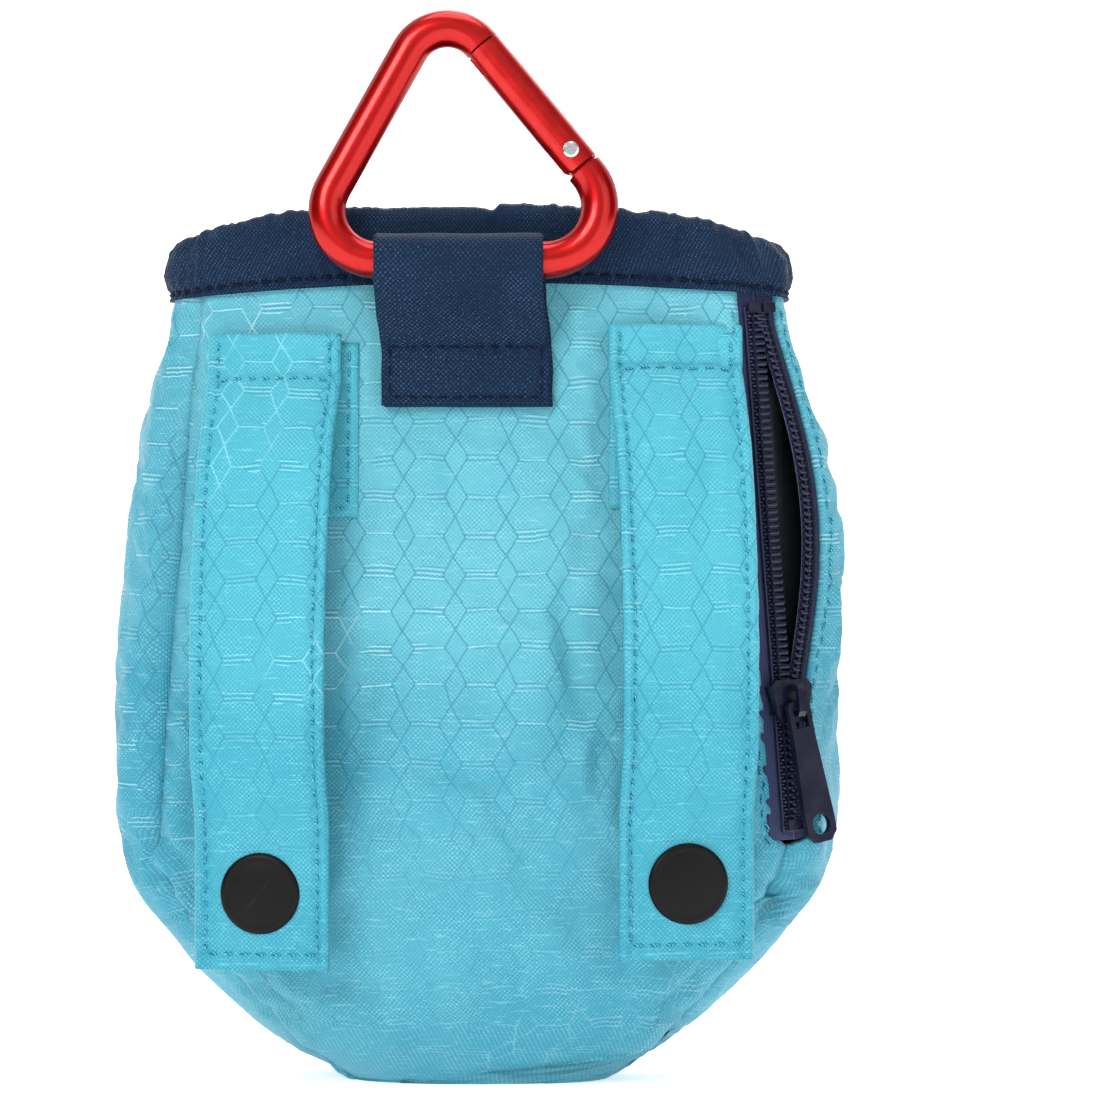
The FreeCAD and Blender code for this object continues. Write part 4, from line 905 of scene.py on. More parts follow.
def side_folds(p, near, along):
    """What both sides have, near mm from a seam: slack, the seam, gathers and a long tuck beside the seam."""
    tuck = 0.9 * math.sin((near - 6) * 0.28) * smooth_step(3, 9, near) * smooth_step(130, 90, p.z)
    return slack_folds(*p) + seam_relief(p.z, near, 4.0) + gathers(along, p.z) + tuck


def side_relief(p, from_start, to_end, along):
    return side_folds(p, min(from_start, to_end), along)


def right_relief(p, from_start, to_end, along):
    """The right side also rolls out beside the zipper's open mouth."""
    open_share = smooth_step(58, 84, p.z) * (1 - smooth_step(118, 144, p.z))
    roll = 3.4 * smooth_step(0.5, 6, to_end) * smooth_step(34, 10, to_end)
    zipped = smooth_step(44, 47, p.z)
    near = from_start if zipped > 0.5 else min(from_start, to_end)
    depth = side_folds(p, near, along) + roll * open_share
    over_tape = 0.5 * zipped * smooth_step(9, 6, to_end)
    return max(depth, over_tape) if over_tape > 0 else depth


def zip_offset(point):
    """How far a point lies across from the zipper's meeting line."""
    return (Vector(point) - ZIP_FOOT).dot(ZIP_ACROSS)


def zip_gap(z):
    """How far the cloth's two edges stand from the zipper's meeting line at a height."""
    along = (z - ZIP_FOOT.z) / ZIP_UP.z
    opened = smooth_step(-1.7, -0.9, along)
    return (TAPE_REACH - 0.6) * opened, (TAPE_REACH - 0.6 + mouth_bow(along)) * opened


def seams(z, points, lengths):
    """The four seams as lengths along a section, in its own order: right back, left back, left front, right
    front."""
    limit = profile(clamp(z, 0, MOUTH))[0] * 0.97
    x_zip, x_seam = min(lerp_table(ZIP_SEAM, z), limit), min(lerp_table(SEAM, z), limit)
    right_back = cross_x(points, lengths, x_zip, True, True)
    left_back = cross_x(points, lengths, -x_seam, True, False)
    left_front = cross_x(points, lengths, -x_seam, False, False)
    right_front = cross_x(points, lengths, x_seam, False, True)
    return right_back, left_back, left_front, right_front


def back_edges(z, points, lengths):
    a, b, _, _ = seams(z, points, lengths)
    return a + zip_gap(z)[0], b


def left_edges(z, points, lengths):
    return seams(z, points, lengths)[1:3]


def front_edges(z, points, lengths):
    return seams(z, points, lengths)[2:4]


def right_edges(z, points, lengths):
    a, _, _, d = seams(z, points, lengths)
    return d, lengths[-1] + a - zip_gap(z)[1]


CLOTH_ROWS = [0.0, 0.6, 1.4, 2.4, 3.6, 5.0, 6.5, 8.2] + [10 + 1.5 * i for i in range(24)]
CLOTH_ROWS += [45.8, 47.0] + [48.5 + 1.5 * i for i in range(71)]


def make_panels():
    """The back, the front and the two sides, each from seam to seam."""
    sides = [z for z in CLOTH_ROWS if z >= BASE_SEAM - 1.0]
    jobs = (
        ("back_cloth", "back_panel", back_edges, 84, back_relief, CLOTH_ROWS),
        ("front_cloth", "front_panel", front_edges, 84, front_relief, CLOTH_ROWS),
        ("left_side_cloth", "left_gusset", left_edges, 32, side_relief, sides),
        ("right_side_cloth", "right_gusset", right_edges, 32, right_relief, sides),
    )
    for name, node, boundary, columns, relief, heights in jobs:
        vertices, uvs = panel_grid(heights, boundary, columns, relief)
        cloth = new_object(name, vertices, grid_faces(len(heights), columns + 2), uvs)
        slacken(cloth, len(heights), columns + 2)
        thicken(cloth)
        finish_piece(cloth, "pouch", TEAL, (node,))
    make_base()


# The cloth run: its mass and stiffness, how much larger the cloth is, how long it runs, and how far in mm it
# may move out or in.
SLACK = {"mass": 0.004, "stretch": 30, "shear": 6, "bend": 0.02, "extra": 0.03, "frames": 16, "cap": 1.8}


def slacken(cloth, rows, columns):
    """Lets the cloth buckle: it is a little larger than its place, held at its seams and fittings."""
    group = cloth.vertex_groups.new(name="held")
    for index, vertex in enumerate(cloth.data.vertices):
        row, column = divmod(index, columns)
        edge = min(column, columns - 1 - column, row, rows - 1 - row)
        x, y, z = vertex.co / MM
        ends = smooth_step(138, 146, z), smooth_step(14, 6, z)
        hold = max(1.5 - 0.4 * edge, 1 - fitting_room(x, y, z) * 1.6, *ends)
        group.add([index], min(1, max(0, hold)), "REPLACE")
    before = [vertex.co.copy() for vertex in cloth.data.vertices]
    normals = [vertex.normal.copy() for vertex in cloth.data.vertices]
    cloth_modifier = cloth.modifiers.new("Slack", "CLOTH")
    settings = cloth_modifier.settings
    settings.quality = 5
    settings.mass = SLACK["mass"]
    settings.tension_stiffness = SLACK["stretch"]
    settings.compression_stiffness = SLACK["stretch"]
    settings.shear_stiffness = SLACK["shear"]
    settings.bending_stiffness = SLACK["bend"]
    settings.air_damping = 1.0
    settings.vertex_group_mass = "held"
    settings.pin_stiffness = 1.0
    settings.shrink_min = -SLACK["extra"]
    settings.effector_weights.gravity = 0
    cloth_modifier.collision_settings.use_collision = False
    cloth_modifier.point_cache.frame_start = 1
    cloth_modifier.point_cache.frame_end = SLACK["frames"]
    for frame_number in range(1, SLACK["frames"] + 1):
        bpy.context.scene.frame_set(frame_number)
    graph = bpy.context.evaluated_depsgraph_get()
    after = [vertex.co.copy() for vertex in cloth.evaluated_get(graph).data.vertices]
    cloth.modifiers.clear()
    cloth.vertex_groups.clear()
    for vertex, old, new, normal in zip(cloth.data.vertices, before, after, normals):
        shift = new - old
        out = shift.dot(normal)
        cap = SLACK["cap"] * MM
        soft = cap * math.tanh(out / cap)
        vertex.co = old + (shift - normal * out) * 0.5 + normal * soft
    cloth.data.update()
    bpy.context.scene.frame_set(1)


def thicken(cloth):
    """Turns a cloth surface's faces away from the bag's middle and gives it its thickness, inwards."""
    middle = Vector((0, SHIFT, 30)) * MM
    with mesh_edit(cloth) as bm:
        bmesh.ops.recalc_face_normals(bm, faces=bm.faces)
        total = sum(f.normal.dot(f.calc_center_median() - middle) * f.calc_area() for f in bm.faces)
        if total < 0:
            bmesh.ops.reverse_faces(bm, faces=bm.faces)
    add_modifier(cloth, "SOLIDIFY", thickness=0.7 * MM, offset=-1)
    apply_modifiers(cloth)


def make_base():
    """The bottom: the two side strips meet under the bag, with a flat sole between them."""
    heights = [z for z in CLOTH_ROWS if z <= BASE_SEAM + 1.0]
    pieces = []
    for boundary in (left_edges, right_edges):
        vertices, uvs = panel_grid(heights, boundary, 30, side_relief)
        pieces.append(new_object("base strip", vertices, grid_faces(len(heights), 32), uvs))
    points = ring(0.0)
    shares = [1.0, 0.85, 0.65, 0.4, 0.15]
    count = len(points) // 3
    outline = points[::3][:count]
    vertices, uvs = [], []
    for share in shares:
        for x, y in outline:
            vertices.append((x * share, SHIFT + (y - SHIFT) * share, 0.05 - 0.05 * share))
            uvs.append((x * share + 400, (y - SHIFT) * share))
    faces = grid_faces(len(shares), len(outline), wrap=True)
    vertices.append((0, SHIFT, 0.0))
    uvs.append((400, 0))
    base = (len(shares) - 1) * len(outline)
    for k in range(len(outline)):
        faces.append((base + k, base + (k + 1) % len(outline), len(vertices) - 1))
    pieces.append(new_object("sole", vertices, faces, uvs))
    cloth = join(pieces, "base_cloth")
    with mesh_edit(cloth) as bm:
        bmesh.ops.remove_doubles(bm, verts=bm.verts, dist=0.0001)
    thicken(cloth)
    finish_piece(cloth, "pouch", TEAL, ("base_gusset",))


def make_lining():
    heights = [1.6, 2.2, 3.2, 4.6, 6.5] + list(np.linspace(9, 153, 60))
    vertices, uvs = [], []
    for z in heights:
        points = ring(z, grow=-3.2, back_in=9, hug=False, fine=4)
        lengths = ring_lengths(points)
        for k, (x, y) in enumerate(points):
            depth = wobble(x * 0.08, y * 0.08, z * 0.05) * 0.5 - 0.4
            inward = (Vector((0, SHIFT)) - Vector((x, y))).normalized()
            vertices.append((x - inward.x * depth, y - inward.y * depth, z))
            uvs.append((lengths[k], z))
    count = len(points)
    faces = grid_faces(len(heights), count, wrap=True)
    vertices.append((0, SHIFT + 3, heights[0]))
    uvs.append((0, 0))
    for k in range(count):
        faces.append((k, (k + 1) % count, len(vertices) - 1))
    lining = new_object("lining_cloth", vertices, faces, uvs)
    add_modifier(lining, "SOLIDIFY", thickness=0.4 * MM, offset=0)
    apply_modifiers(lining)
    finish_piece(lining, "pouch", LINING, ("inner_lining",))


MOUTH_COLUMNS = 9


def make_key_pocket():
    """The pocket's two walls behind the zipper, joined round their edges."""
    heights = np.linspace(49, 132, 44)
    columns = 46
    sheets = []
    for grow, back_in in ((-1.5, 0.0), (-1.2, 9.0)):
        rows = []
        for z in heights:
            points = ring(z, grow=grow, back_in=back_in, hug=back_in == 0)
            lengths = ring_lengths(points)
            start = cross_x(points, lengths, 57.5, True, True)
            end = cross_x(points, lengths, -43, True, False)
            line = at_length(points, lengths, np.linspace(start, end, columns))
            rows.append([Vector((x, y, z)) for x, y in line])
        sheets.append(rows)
    outer, inner = sheets
    vertices, uvs = [], []
    for r, z in enumerate(heights):
        edge_v = min(smooth_step(0, 5, r), smooth_step(0, 5, len(heights) - 1 - r))
        for side in (0, 1):
            for c in range(columns):
                edge = min(edge_v, smooth_step(0, 5, columns - 1 - c))
                a, b = outer[r][c], inner[r][c]
                share = 0.36 + 0.16 * (1 - edge) if side == 0 else 0.86 - 0.32 * (1 - edge)
                waver = wobble(c * 0.12, r * 0.1, side * 4.0) * 0.03
                p = a.lerp(b, share + waver)
                if side == 0 and c < MOUTH_COLUMNS:
                    # The front wall stops short of the zipper's open mouth.
                    p = outer[r][MOUTH_COLUMNS].lerp(inner[r][MOUTH_COLUMNS], share)
                vertices.append(p)
                uvs.append((c * 2.4, z))
    faces = []
    stride = columns * 2
    for r in range(len(heights) - 1):
        for c in range(columns - 1):
            for side in (0, 1):
                if side == 0 and c < MOUTH_COLUMNS:
                    continue
                i = r * stride + side * columns + c
                faces.append((i, i + 1, i + 1 + stride, i + stride))
    # Close the far side, the foot and the top.
    for r in range(len(heights) - 1):
        i = r * stride + columns - 1
        faces.append((i, i + columns, i + columns + stride, i + stride))
    for row in (0, len(heights) - 1):
        for c in range(MOUTH_COLUMNS, columns - 1):
            i = row * stride + c
            faces.append((i, i + 1, i + 1 + columns, i + columns))
    pocket = new_object("key_pocket_cloth", vertices, faces, uvs)
    with mesh_edit(pocket) as bm:
        loose = [v for v in bm.verts if not v.link_faces]
        bmesh.ops.delete(bm, geom=loose, context="VERTS")
        bmesh.ops.recalc_face_normals(bm, faces=bm.faces)
    add_modifier(pocket, "SOLIDIFY", thickness=0.35 * MM, offset=0)
    apply_modifiers(pocket)
    finish_piece(pocket, "pouch", LINING, ("key_pocket",))


# ------------------------------------------------------------------ rim
RIM_JOIN = 4.4


def rim_top(x):
    return 163.6 - 7.1 * (abs(x) / 58.6) ** 4


def rim_low(x):
    return 149.4 - 2.8 * (abs(x) / 58.6) ** 2


def rim_lines(count):
    """The bag's section round the mouth at every height of the rim, as evenly spaced points and their
    outward directions."""
    lines = {}
    for z in range(144, 168):
        points = ring(z)
        lengths = ring_lengths(points)
        want = np.linspace(0, lengths[-1], count, endpoint=False)
        lines[z] = (at_length(points, lengths, want), outward(points, lengths, want))
    return lines


def rim_pucker(along, share, held):
    """How far the gathered band stands out at a place. share goes from its lower edge, 0, to its top, 1."""
    leaning = along + 5 * share
    fold = 0.5 - abs(wobble(leaning * 0.17, share * 0.8, 21.0)) * 1.6
    fine = 0.5 - abs(wobble(leaning * 0.42, share * 1.3, 4.0)) * 1.4
    beat = math.sin(along * 2.1 + 2 * wobble(along * 0.1, 0, 0))
    small = 0.22 * beat * bell(share - 0.16, 0.16)
    return (fold * 1.05 + fine * 0.65) * smooth_step(0.14, 0.55, share) * held + small


def make_rim():
    """The gathered band: a closed cross-section swept round the mouth, sewn near its lower edge."""
    count, steps = 560, 36
    stitched = 0.14
    lines = rim_lines(count)
    total = 330.0
    vertices, uvs, stitch_path, stitch_normals = [], [], [], []
    for k in range(count):
        x, y = lines[156][0][k]
        along = total * k / count
        back = y < SHIFT
        # Behind the loop the band lies flatter, and its two ends overlap just right of the loop.
        held = 0.35 if back and abs(x - LOOP_ACROSS) < 17 else 1.0
        lump = smooth_step(RIM_JOIN - 0.6, RIM_JOIN + 0.6, x) * bell(x - RIM_JOIN, 13) if back else 0
        notch = bell(x - RIM_JOIN + 1.0, 1.1) if back else 0
        scallop = rim_pucker(along, 1.0, held)
        top, low = rim_top(x) + 0.8 * scallop + 0.8 * lump - 0.5 * notch, rim_low(x)

        def place(off, z):
            """The point that stands off from the bag's section at height z."""
            level = min(max(int(z), 144), 166)
            t = z - level
            (p0, o0), (p1, o1) = ((lines[i][0][k], lines[i][1][k]) for i in (level, level + 1))
            at, out = p0 + (p1 - p0) * t, o0 + (o1 - o0) * t
            return Vector((at[0] + out[0] * off, at[1] + out[1] * off, z)), Vector((*out, 0))

        for s in range(steps):
            t = s / steps
            if t < 0.46:
                share = t / 0.46
                z = low + (top - 1.9 - low) * share
                belly = 0.75 * math.sin(math.pi * min(1, max(0, share - 0.15) / 0.9)) ** 0.7
                groove = 0.55 * bell(share - stitched, 0.07)
                off = 1.15 + belly + rim_pucker(along, share, held) - groove
                off -= 0.9 * notch * smooth_step(0.3, 0.7, share)
                if back and abs(x - LOOP_ACROSS) < 24:
                    off = min(off, 1.5)
            elif t < 0.62:
                turn = (t - 0.46) / 0.16 * math.pi
                z = top - 1.9 + 1.9 * math.sin(turn)
                off = -1.0 + 2.2 * math.cos(turn) + 0.5 * scallop
            else:
                share = 1 - (t - 0.62) / 0.38
                z = low + (top - 1.9 - low) * share
                off = -3.2 - 0.5 * rim_pucker(along, share, held) + 0.4 * bell(share - stitched, 0.07)
            point, _ = place(off, z)
            vertices.append(point)
            uvs.append((along, z if t < 0.5 else 2 * top - z))
        if k % 2 == 0:
            point, out = place(1.15 - 0.25, low + (top - 1.9 - low) * stitched)
            stitch_path.append(point)
            stitch_normals.append(out)
    faces = grid_faces(count, steps, wrap=True)
    last = (count - 1) * steps
    faces += [(last + s, last + (s + 1) % steps, (s + 1) % steps, s) for s in range(steps)]
    rim = new_object("rim_band", vertices, faces, uvs)
    face_out(rim)
    rim.data.materials.append(NAVY)
    stitch_path.append(stitch_path[0])
    stitch_normals.append(stitch_normals[0])
    row = stitch_mesh("rim stitches", stitch_path, stitch_normals, material=NAVY_THREAD, lift=0.12)
    rim = join([rim, row], "rim_band")
    finish_piece(rim, "pouch", None, ("rim_casing",))


# ------------------------------------------------------------------ strips of cloth
def cloth_strip(name, spine, frames, half_width, thickness, columns, bulge, edge_round):
    """A strip of folded cloth along a spine. frames gives (side, out) unit vectors at each spine point.
    Returns the object and a function that gives a surface point."""
    vertices, uvs = [], []
    climbed = 0.0
    last = None
    section = []
    for k in range(columns + 1):
        share = -1 + 2 * k / columns
        section.append((share, 1.0))
    for k in range(columns, -1, -1):
        share = -1 + 2 * k / columns
        section.append((share, 0.0))

    def surface(i, share, outside):
        side, out = frames[i]
        edge = (1 - abs(share)) * half_width
        rounded = math.sqrt(max(0, 1 - (1 - min(edge / edge_round, 1)) ** 2)) if edge < edge_round else 1.0
        level = thickness * (0.5 + (0.5 if outside else -0.5) * (0.35 + 0.65 * rounded))
        extra = bulge(i, share) if outside else 0.0
        width = half_width + 0.12 * wobble(climb_at[i] * 0.25, 2.0 if share > 0 else 5.0, 1.0)
        return spine[i] + side * share * width + out * (level + extra)

    climb_at = []
    for p in spine:
        if last is not None:
            climbed += (p - last).length
        last = p
        climb_at.append(climbed)
    for i in range(len(spine)):
        for share, outside in section:
            vertices.append(surface(i, share, outside > 0.5))
            uvs.append((share * half_width + (400 if outside > 0.5 else 500), climb_at[i]))
    width = len(section)
    faces = grid_faces(len(spine), width, wrap=True)
    faces.append(tuple(range(width))[::-1])
    faces.append(tuple((len(spine) - 1) * width + k for k in range(width)))
    obj = new_object(name, vertices, faces, uvs)
    face_out(obj)
    return obj, surface


def stitches_on(surface, frames, places, name, material, **settings):
    path = [surface(i, share, True) for i, share in places]
    normals = [frames[i][1] for i, _ in places]
    return stitch_mesh(name, path, normals, material=material, **settings)


# ------------------------------------------------------------------ belt straps
STRAP = {
    "left": {"across": -37.4, "rise": -0.9, "turn": -12, "patch": -34},
    "right": {"across": 36.9, "rise": 0.9, "turn": 12, "patch": 36.9},
}
FOLD_OUT, FOLD_HEIGHT = 21.7, 131.5
STRAP_PATH = ((0, 0), (15, 7), (31, 10.4), (50, 12.3), (66, 12.2), (83.5, 8.5), (108.2, 8.5))
SNAP_DROP, SNAP_OUT = 94.1, 8.5


def strap_frame(side):
    """A strap's own frame: its origin at the fold, x across it and -y out from the bag."""
    place = STRAP[side]
    at = Vector((place["across"], SHIFT - FOLD_OUT, FOLD_HEIGHT + place["rise"]))
    return Matrix.Translation(at) @ Matrix.Rotation(math.radians(place["turn"]), 4, "Z")


def skin_out(x, z):
    """How far the back panel stands out at a place seen from the back: its y."""
    points = ring(z)
    lengths = ring_lengths(points)
    at = cross_x(points, lengths, x if abs(x) > 0.01 else 0.01, True, x > 0)
    return float(at_length(points, lengths, np.array([at]))[0][1])


def smooth_line(points, count):
    """Points evenly spread on a smooth line through the given ones."""
    xs = np.array([p[0] for p in points], float)
    ys = np.array([p[1] for p in points], float)
    at = np.linspace(xs[0], xs[-1], count)
    return [(a, eased(list(xs), list(ys), float(a))) for a in at]


def make_strap(side):
    """A belt strap: its sewn end, the fold from which it opens, and its length down to the snap."""
    matrix = strap_frame(side)
    turn = matrix.to_3x3()
    across, out = turn @ Vector((1, 0, 0)), turn @ Vector((0, -1, 0))
    spine, frames = [], []
    top = 9.0
    fold = Vector((STRAP[side]["across"], 0, FOLD_HEIGHT + STRAP[side]["rise"]))
    steps = 10
    for i in range(steps):
        rise = top * (1 - i / steps)
        z = fold.z + rise
        here = skin_out(fold.x, z) - 1.25
        spine.append(Vector((fold.x, here, z)))
        frames.append((across, out))
    for drop, reach in smooth_line(STRAP_PATH, 150):
        local = Vector((0, -reach, -drop))
        spine.append(matrix @ local)
        frames.append((across, out))
    # Turn each frame to the spine's own slope.
    for i in range(len(spine)):
        a, b = spine[max(i - 1, 0)], spine[min(i + 1, len(spine) - 1)]
        down = (b - a).normalized()
        frames[i] = (across, across.cross(down).normalized() * (1 if across.cross(down).dot(out) > 0 else -1))

    stitched = 2.1
    half = 12.75

    salt = 3.0 if side == "left" else 8.0
    tail_row = len(spine) - 5

    def bulge(i, share):
        """The hem's ridge outside the stitches, the quilted middle, and the sewn box at the top."""
        edge = (1 - abs(share)) * half
        z = spine[i].z
        drop = fold.z - z
        held = 0.62 + 0.38 * math.cos(2 * math.pi * (z + (1.2 if share > 0 else 0)) / 2.9)
        groove = 0.85 * held * bell(edge - stitched, 0.55)
        ridge = 0.6 * bell(edge - 1.0, 0.8)
        middle = 0.55 * smooth_step(2.4, 6.5, edge)
        beat = math.sin(z * 3.4 + salt + (1 if share > 0 else 4) + 2 * wobble(z * 0.2, share, salt))
        pucker = 0.22 * beat * bell(edge - 1.3, 0.8)
        wave = 0.7 * wobble(share * 1.4, z * 0.055, salt) + 0.25 * wobble(share * 4, z * 0.2, salt)
        rows = 0.5 * bell(drop, 0.6) + 0.45 * bell(spine[tail_row].z - z, 0.6)
        box = 0.45 * smooth_step(-7.5, -6, drop) * smooth_step(0, -1, drop) * smooth_step(2, 3.4, edge)
        return ridge + middle + pucker + wave * smooth_step(0, 3, edge) - groove - rows - box

    strap, surface = cloth_strip(side + " strap", spine, frames, half, 1.6, 40, bulge=bulge, edge_round=0.8)
    strap.data.materials.append(TEAL_STRAP)
    edge_share = 1 - stitched / half
    rows = []
    for share in (-edge_share, edge_share):
        places = [(i, share) for i in range(1, tail_row + 1)]
        rows.append(stitches_on(surface, frames, places, "edge", TEAL_THREAD, lift=0.15, length=2.0))
    shares = np.linspace(-edge_share, edge_share, 24)
    for i in (steps, tail_row):
        row = [(i, float(s)) for s in shares]
        rows.append(stitches_on(surface, frames, row, "row", TEAL_THREAD, lift=0.15, length=2.0))
    strap = join([strap] + rows, side + "_strap_cloth")
    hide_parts(side + "_belt_strap", side + "_strap_sewn_end")
    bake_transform(strap)
    make_patch(side)


def make_patch(side):
    """The reinforcing cloth behind a strap's top, whose edge shows beside it."""
    place = STRAP[side]
    middle, half = place["patch"], 12.2
    top = FOLD_HEIGHT + place["rise"] + 7.6
    low = top - 32.5
    columns, rows = 26, 34
    vertices, uvs = [], []
    for r in range(rows + 1):
        z = top + (low - top) * r / rows
        points = ring(z)
        lengths = ring_lengths(points)
        for layer in (0, 1):
            for c in range(columns + 1):
                share = -1 + 2 * c / columns
                x = middle + share * half
                at = cross_x(points, lengths, x, True, x > 0)
                p = at_length(points, lengths, np.array([at]))[0]
                level = 0.85 + 0.1 * wobble(x * 0.3, z * 0.3, 1) if layer == 0 else 0.05
                if layer == 0 and (c in (0, columns) or r in (0, rows)):
                    level = 0.55
                out = Vector((x * 0.012, -1, 0)).normalized()
                vertices.append((p[0] + out.x * level, p[1] + out.y * level, z))
                uvs.append((x + 420, z))
    patch = new_object(side + " patch", vertices, two_layer_faces(rows, columns), uvs)
    face_out(patch)
    patch.data.materials.append(TEAL_STRAP)
    x = middle + half - 1.8
    path = []
    for r in range(1, rows - 1):
        z = top + (low - top) * r / rows
        path.append((x, skin_out(x, z) - 0.85, z))
    row = stitch_mesh("patch row", path, [(0, -1, 0)] * len(path), material=TEAL_THREAD)
    z = low + 1.8
    places = [middle + s * (half - 1.8) for s in np.linspace(-1, 1, 14)]
    path = [(x, skin_out(x, z) - 0.85, z) for x in places]
    foot = stitch_mesh("patch foot", path, [(0, -1, 0)] * len(path), material=TEAL_THREAD)
    patch = join([patch, row, foot], side + "_patch_cloth")
    finish_piece(patch, "pouch", None, (side + "_strap_patch",))


# ------------------------------------------------------------------ snaps
def lathe(name, outline, matrix, sides=72):
    """A turned solid from (radius, height) corners, its first and last corners on the axis."""
    vertices = [matrix @ Vector((0, 0, outline[0][1]))]
    inner = outline[1:-1]
    for r, z in inner:
        for k in range(sides):
            turn = 2 * math.pi * k / sides
            vertices.append(matrix @ Vector((r * math.cos(turn), r * math.sin(turn), z)))
    vertices.append(matrix @ Vector((0, 0, outline[-1][1])))
    faces = [(0, 1 + (k + 1) % sides, 1 + k) for k in range(sides)]
    faces += grid_faces(len(inner), sides, wrap=True, offset=1)
    last = 1 + (len(inner) - 1) * sides
    faces += [(last + k, last + (k + 1) % sides, len(vertices) - 1) for k in range(sides)]
    obj = new_object(name, vertices, faces, uvs=[(v[0], v[2]) for v in vertices])
    face_out(obj)
    return obj


def snap_matrix(side):
    at = Matrix.Translation((0, -SNAP_OUT, -SNAP_DROP))
    return strap_frame(side) @ at @ Matrix.Rotation(math.radians(90), 4, "X")


# A snap cap's outline as (radius, height above the strap's outer face), from its back over its rolled edge.
CAP_OUTLINE = ((0, -1.4), (2.2, -1.4), (6.8, -0.45), (7.35, -0.2), (7.5, 0.15), (7.48, 0.5), (7.3, 0.85))
CAP_OUTLINE += ((6.95, 1.08), (6.5, 1.16), (6.2, 1.13), (5.95, 1.12), (5.6, 1.2), (4.4, 1.36), (3.0, 1.48))
CAP_OUTLINE += ((1.4, 1.54), (0.4, 1.56), (0, 1.56))


def make_snap_cap(side):
    cloth = 1.6 + 0.35
    outline = [(radius, cloth + height) for radius, height in CAP_OUTLINE]
    cap = lathe(side + "_snap_button", outline, snap_matrix(side))
    finish_piece(cap, side + "_strap", BLACK, (side + "_snap_cap",))


# ------------------------------------------------------------------ carabiner loop
LOOP_ACROSS, LOOP_HALF = -2.4, 15.75
BAR = Vector((-2.4, SHIFT - 26.55, 153.4))


def loop_back(z):
    """The y of the sewn foot's back face, which lies on the back panel."""
    low_out, sewn_out = 23.65, 21.6
    return SHIFT - low_out + (low_out - sewn_out) * min(1, (z - 126.2) / 11.8)


def loop_path(cloth):
    """The loop's inner face as (y, z) from its foot, up in front of the bar, over it and down behind."""
    inner = 3.5 + 0.35
    foot, sewn, shin = 126.4, 137.5, BAR.z - 2.2
    path = [(loop_back(z) - cloth, z) for z in np.linspace(foot, sewn, 16)]
    front, rear = BAR.y - inner, BAR.y + inner
    start = path[-1][0]
    for t in np.linspace(0, 1, 16)[1:]:
        lean = 0.35 * t + 0.65 * smooth_step(0, 1, t)
        path.append((start + (front - start) * lean, sewn + (shin - sewn) * t))
    path.append((front, BAR.z - 1.1))
    turns = np.linspace(0, math.pi, 24)
    path += [(BAR.y - inner * math.cos(turn), BAR.z + inner * math.sin(turn)) for turn in turns]
    end = start + 0.05
    for t in np.linspace(0, 1, 14)[1:]:
        path.append((rear + (end - rear) * smooth_step(0, 1, t), BAR.z + (sewn - BAR.z) * t))
    path += [(loop_back(z) - cloth + 0.05, z) for z in np.linspace(sewn, foot, 12)[1:]]
    return path


def make_loop():
    """The navy tab: one ribbon that goes round the bar and is sewn down in two layers."""
    cloth = 1.1
    sewn_rows = (128.1, 137.7)
    path = loop_path(cloth)
    front_count = 31
    spine, frames = [], []
    for i, (y, z) in enumerate(path):
        (y0, z0), (y1, z1) = path[max(i - 1, 0)], path[min(i + 1, len(path) - 1)]
        along = Vector((0, y1 - y0, z1 - z0)).normalized()
        # The tab leans a little to the left on its way up.
        sway = 0.5 - 1.3 * smooth_step(134, 150, z)
        under = 0.45 if i >= front_count + 24 else 0.0
        spine.append(Vector((LOOP_ACROSS + sway + under, y, z)))
        frames.append((Vector((1, 0, 0)), Vector((0, -along.z, along.y))))

    def bulge(i, share):
        edge = (1 - abs(share)) * LOOP_HALF
        wave = 0.45 * wobble(share * 2.0, spine[i].z * 0.1, 6.0)
        if i >= front_count:
            return 0.3 * wave
        z = spine[i].z
        bite = 0.75 + 0.35 * math.cos(2 * math.pi * share * LOOP_HALF / 2.9)
        groove = sum(-0.7 * bite * bell(z - row, 0.75) for row in sewn_rows)
        groove -= 0.35 * bell(edge - 1.6, 0.55) * smooth_step(139, 137, z)
        pucker = 0.32 * math.sin(share * 31 + z) * bell(z - sewn_rows[1], 2.4)
        hem = 0.25 * bell(edge - 0.7, 0.5)
        sag = -0.5 * math.sin(math.pi * min(1, max(0, (z - 139) / 12))) * (1 - share * share)
        return 0.25 * smooth_step(0.2, 2.5, edge) + wave + groove + pucker + hem + sag

    tab, surface = cloth_strip("tab", spine, frames, LOOP_HALF - 0.1, cloth, 56, bulge=bulge, edge_round=0.6)
    tab.data.materials.append(NAVY)
    edge_share = 1 - 1.6 / LOOP_HALF
    shares = np.linspace(-edge_share, edge_share, 30)
    low, high = (min(range(16), key=lambda i: abs(spine[i].z - row)) for row in sewn_rows)
    rows = []
    for i in (low, high):
        places = [(i, float(s)) for s in shares]
        rows.append(stitches_on(surface, frames, places, "row", NAVY_THREAD))
    for share in (-edge_share, edge_share):
        places = [(i, share) for i in range(low, high + 1)]
        rows.append(stitches_on(surface, frames, places, "side", NAVY_THREAD))
    tab = join([tab] + rows, "carabiner_tab")
    finish_piece(tab, "pouch", None, ("carabiner_loop",))


# ------------------------------------------------------------------ zipper
def row_bow(side, along):
    """How far a zipper half bows out from the meeting line: only the one on the side panel does."""
    return 0.0 if side == "back" else mouth_bow(along)


def zip_row(side, across, rise, start, short, count):
    """Points along a zipper half, from start mm up the zipper to short of its end."""
    sign = -1 if side == "back" else 1
    places = np.linspace(start, ZIP_LENGTH - short, count)
    return [zip_point(sign * across + row_bow(side, a), a, rise) for a in places]


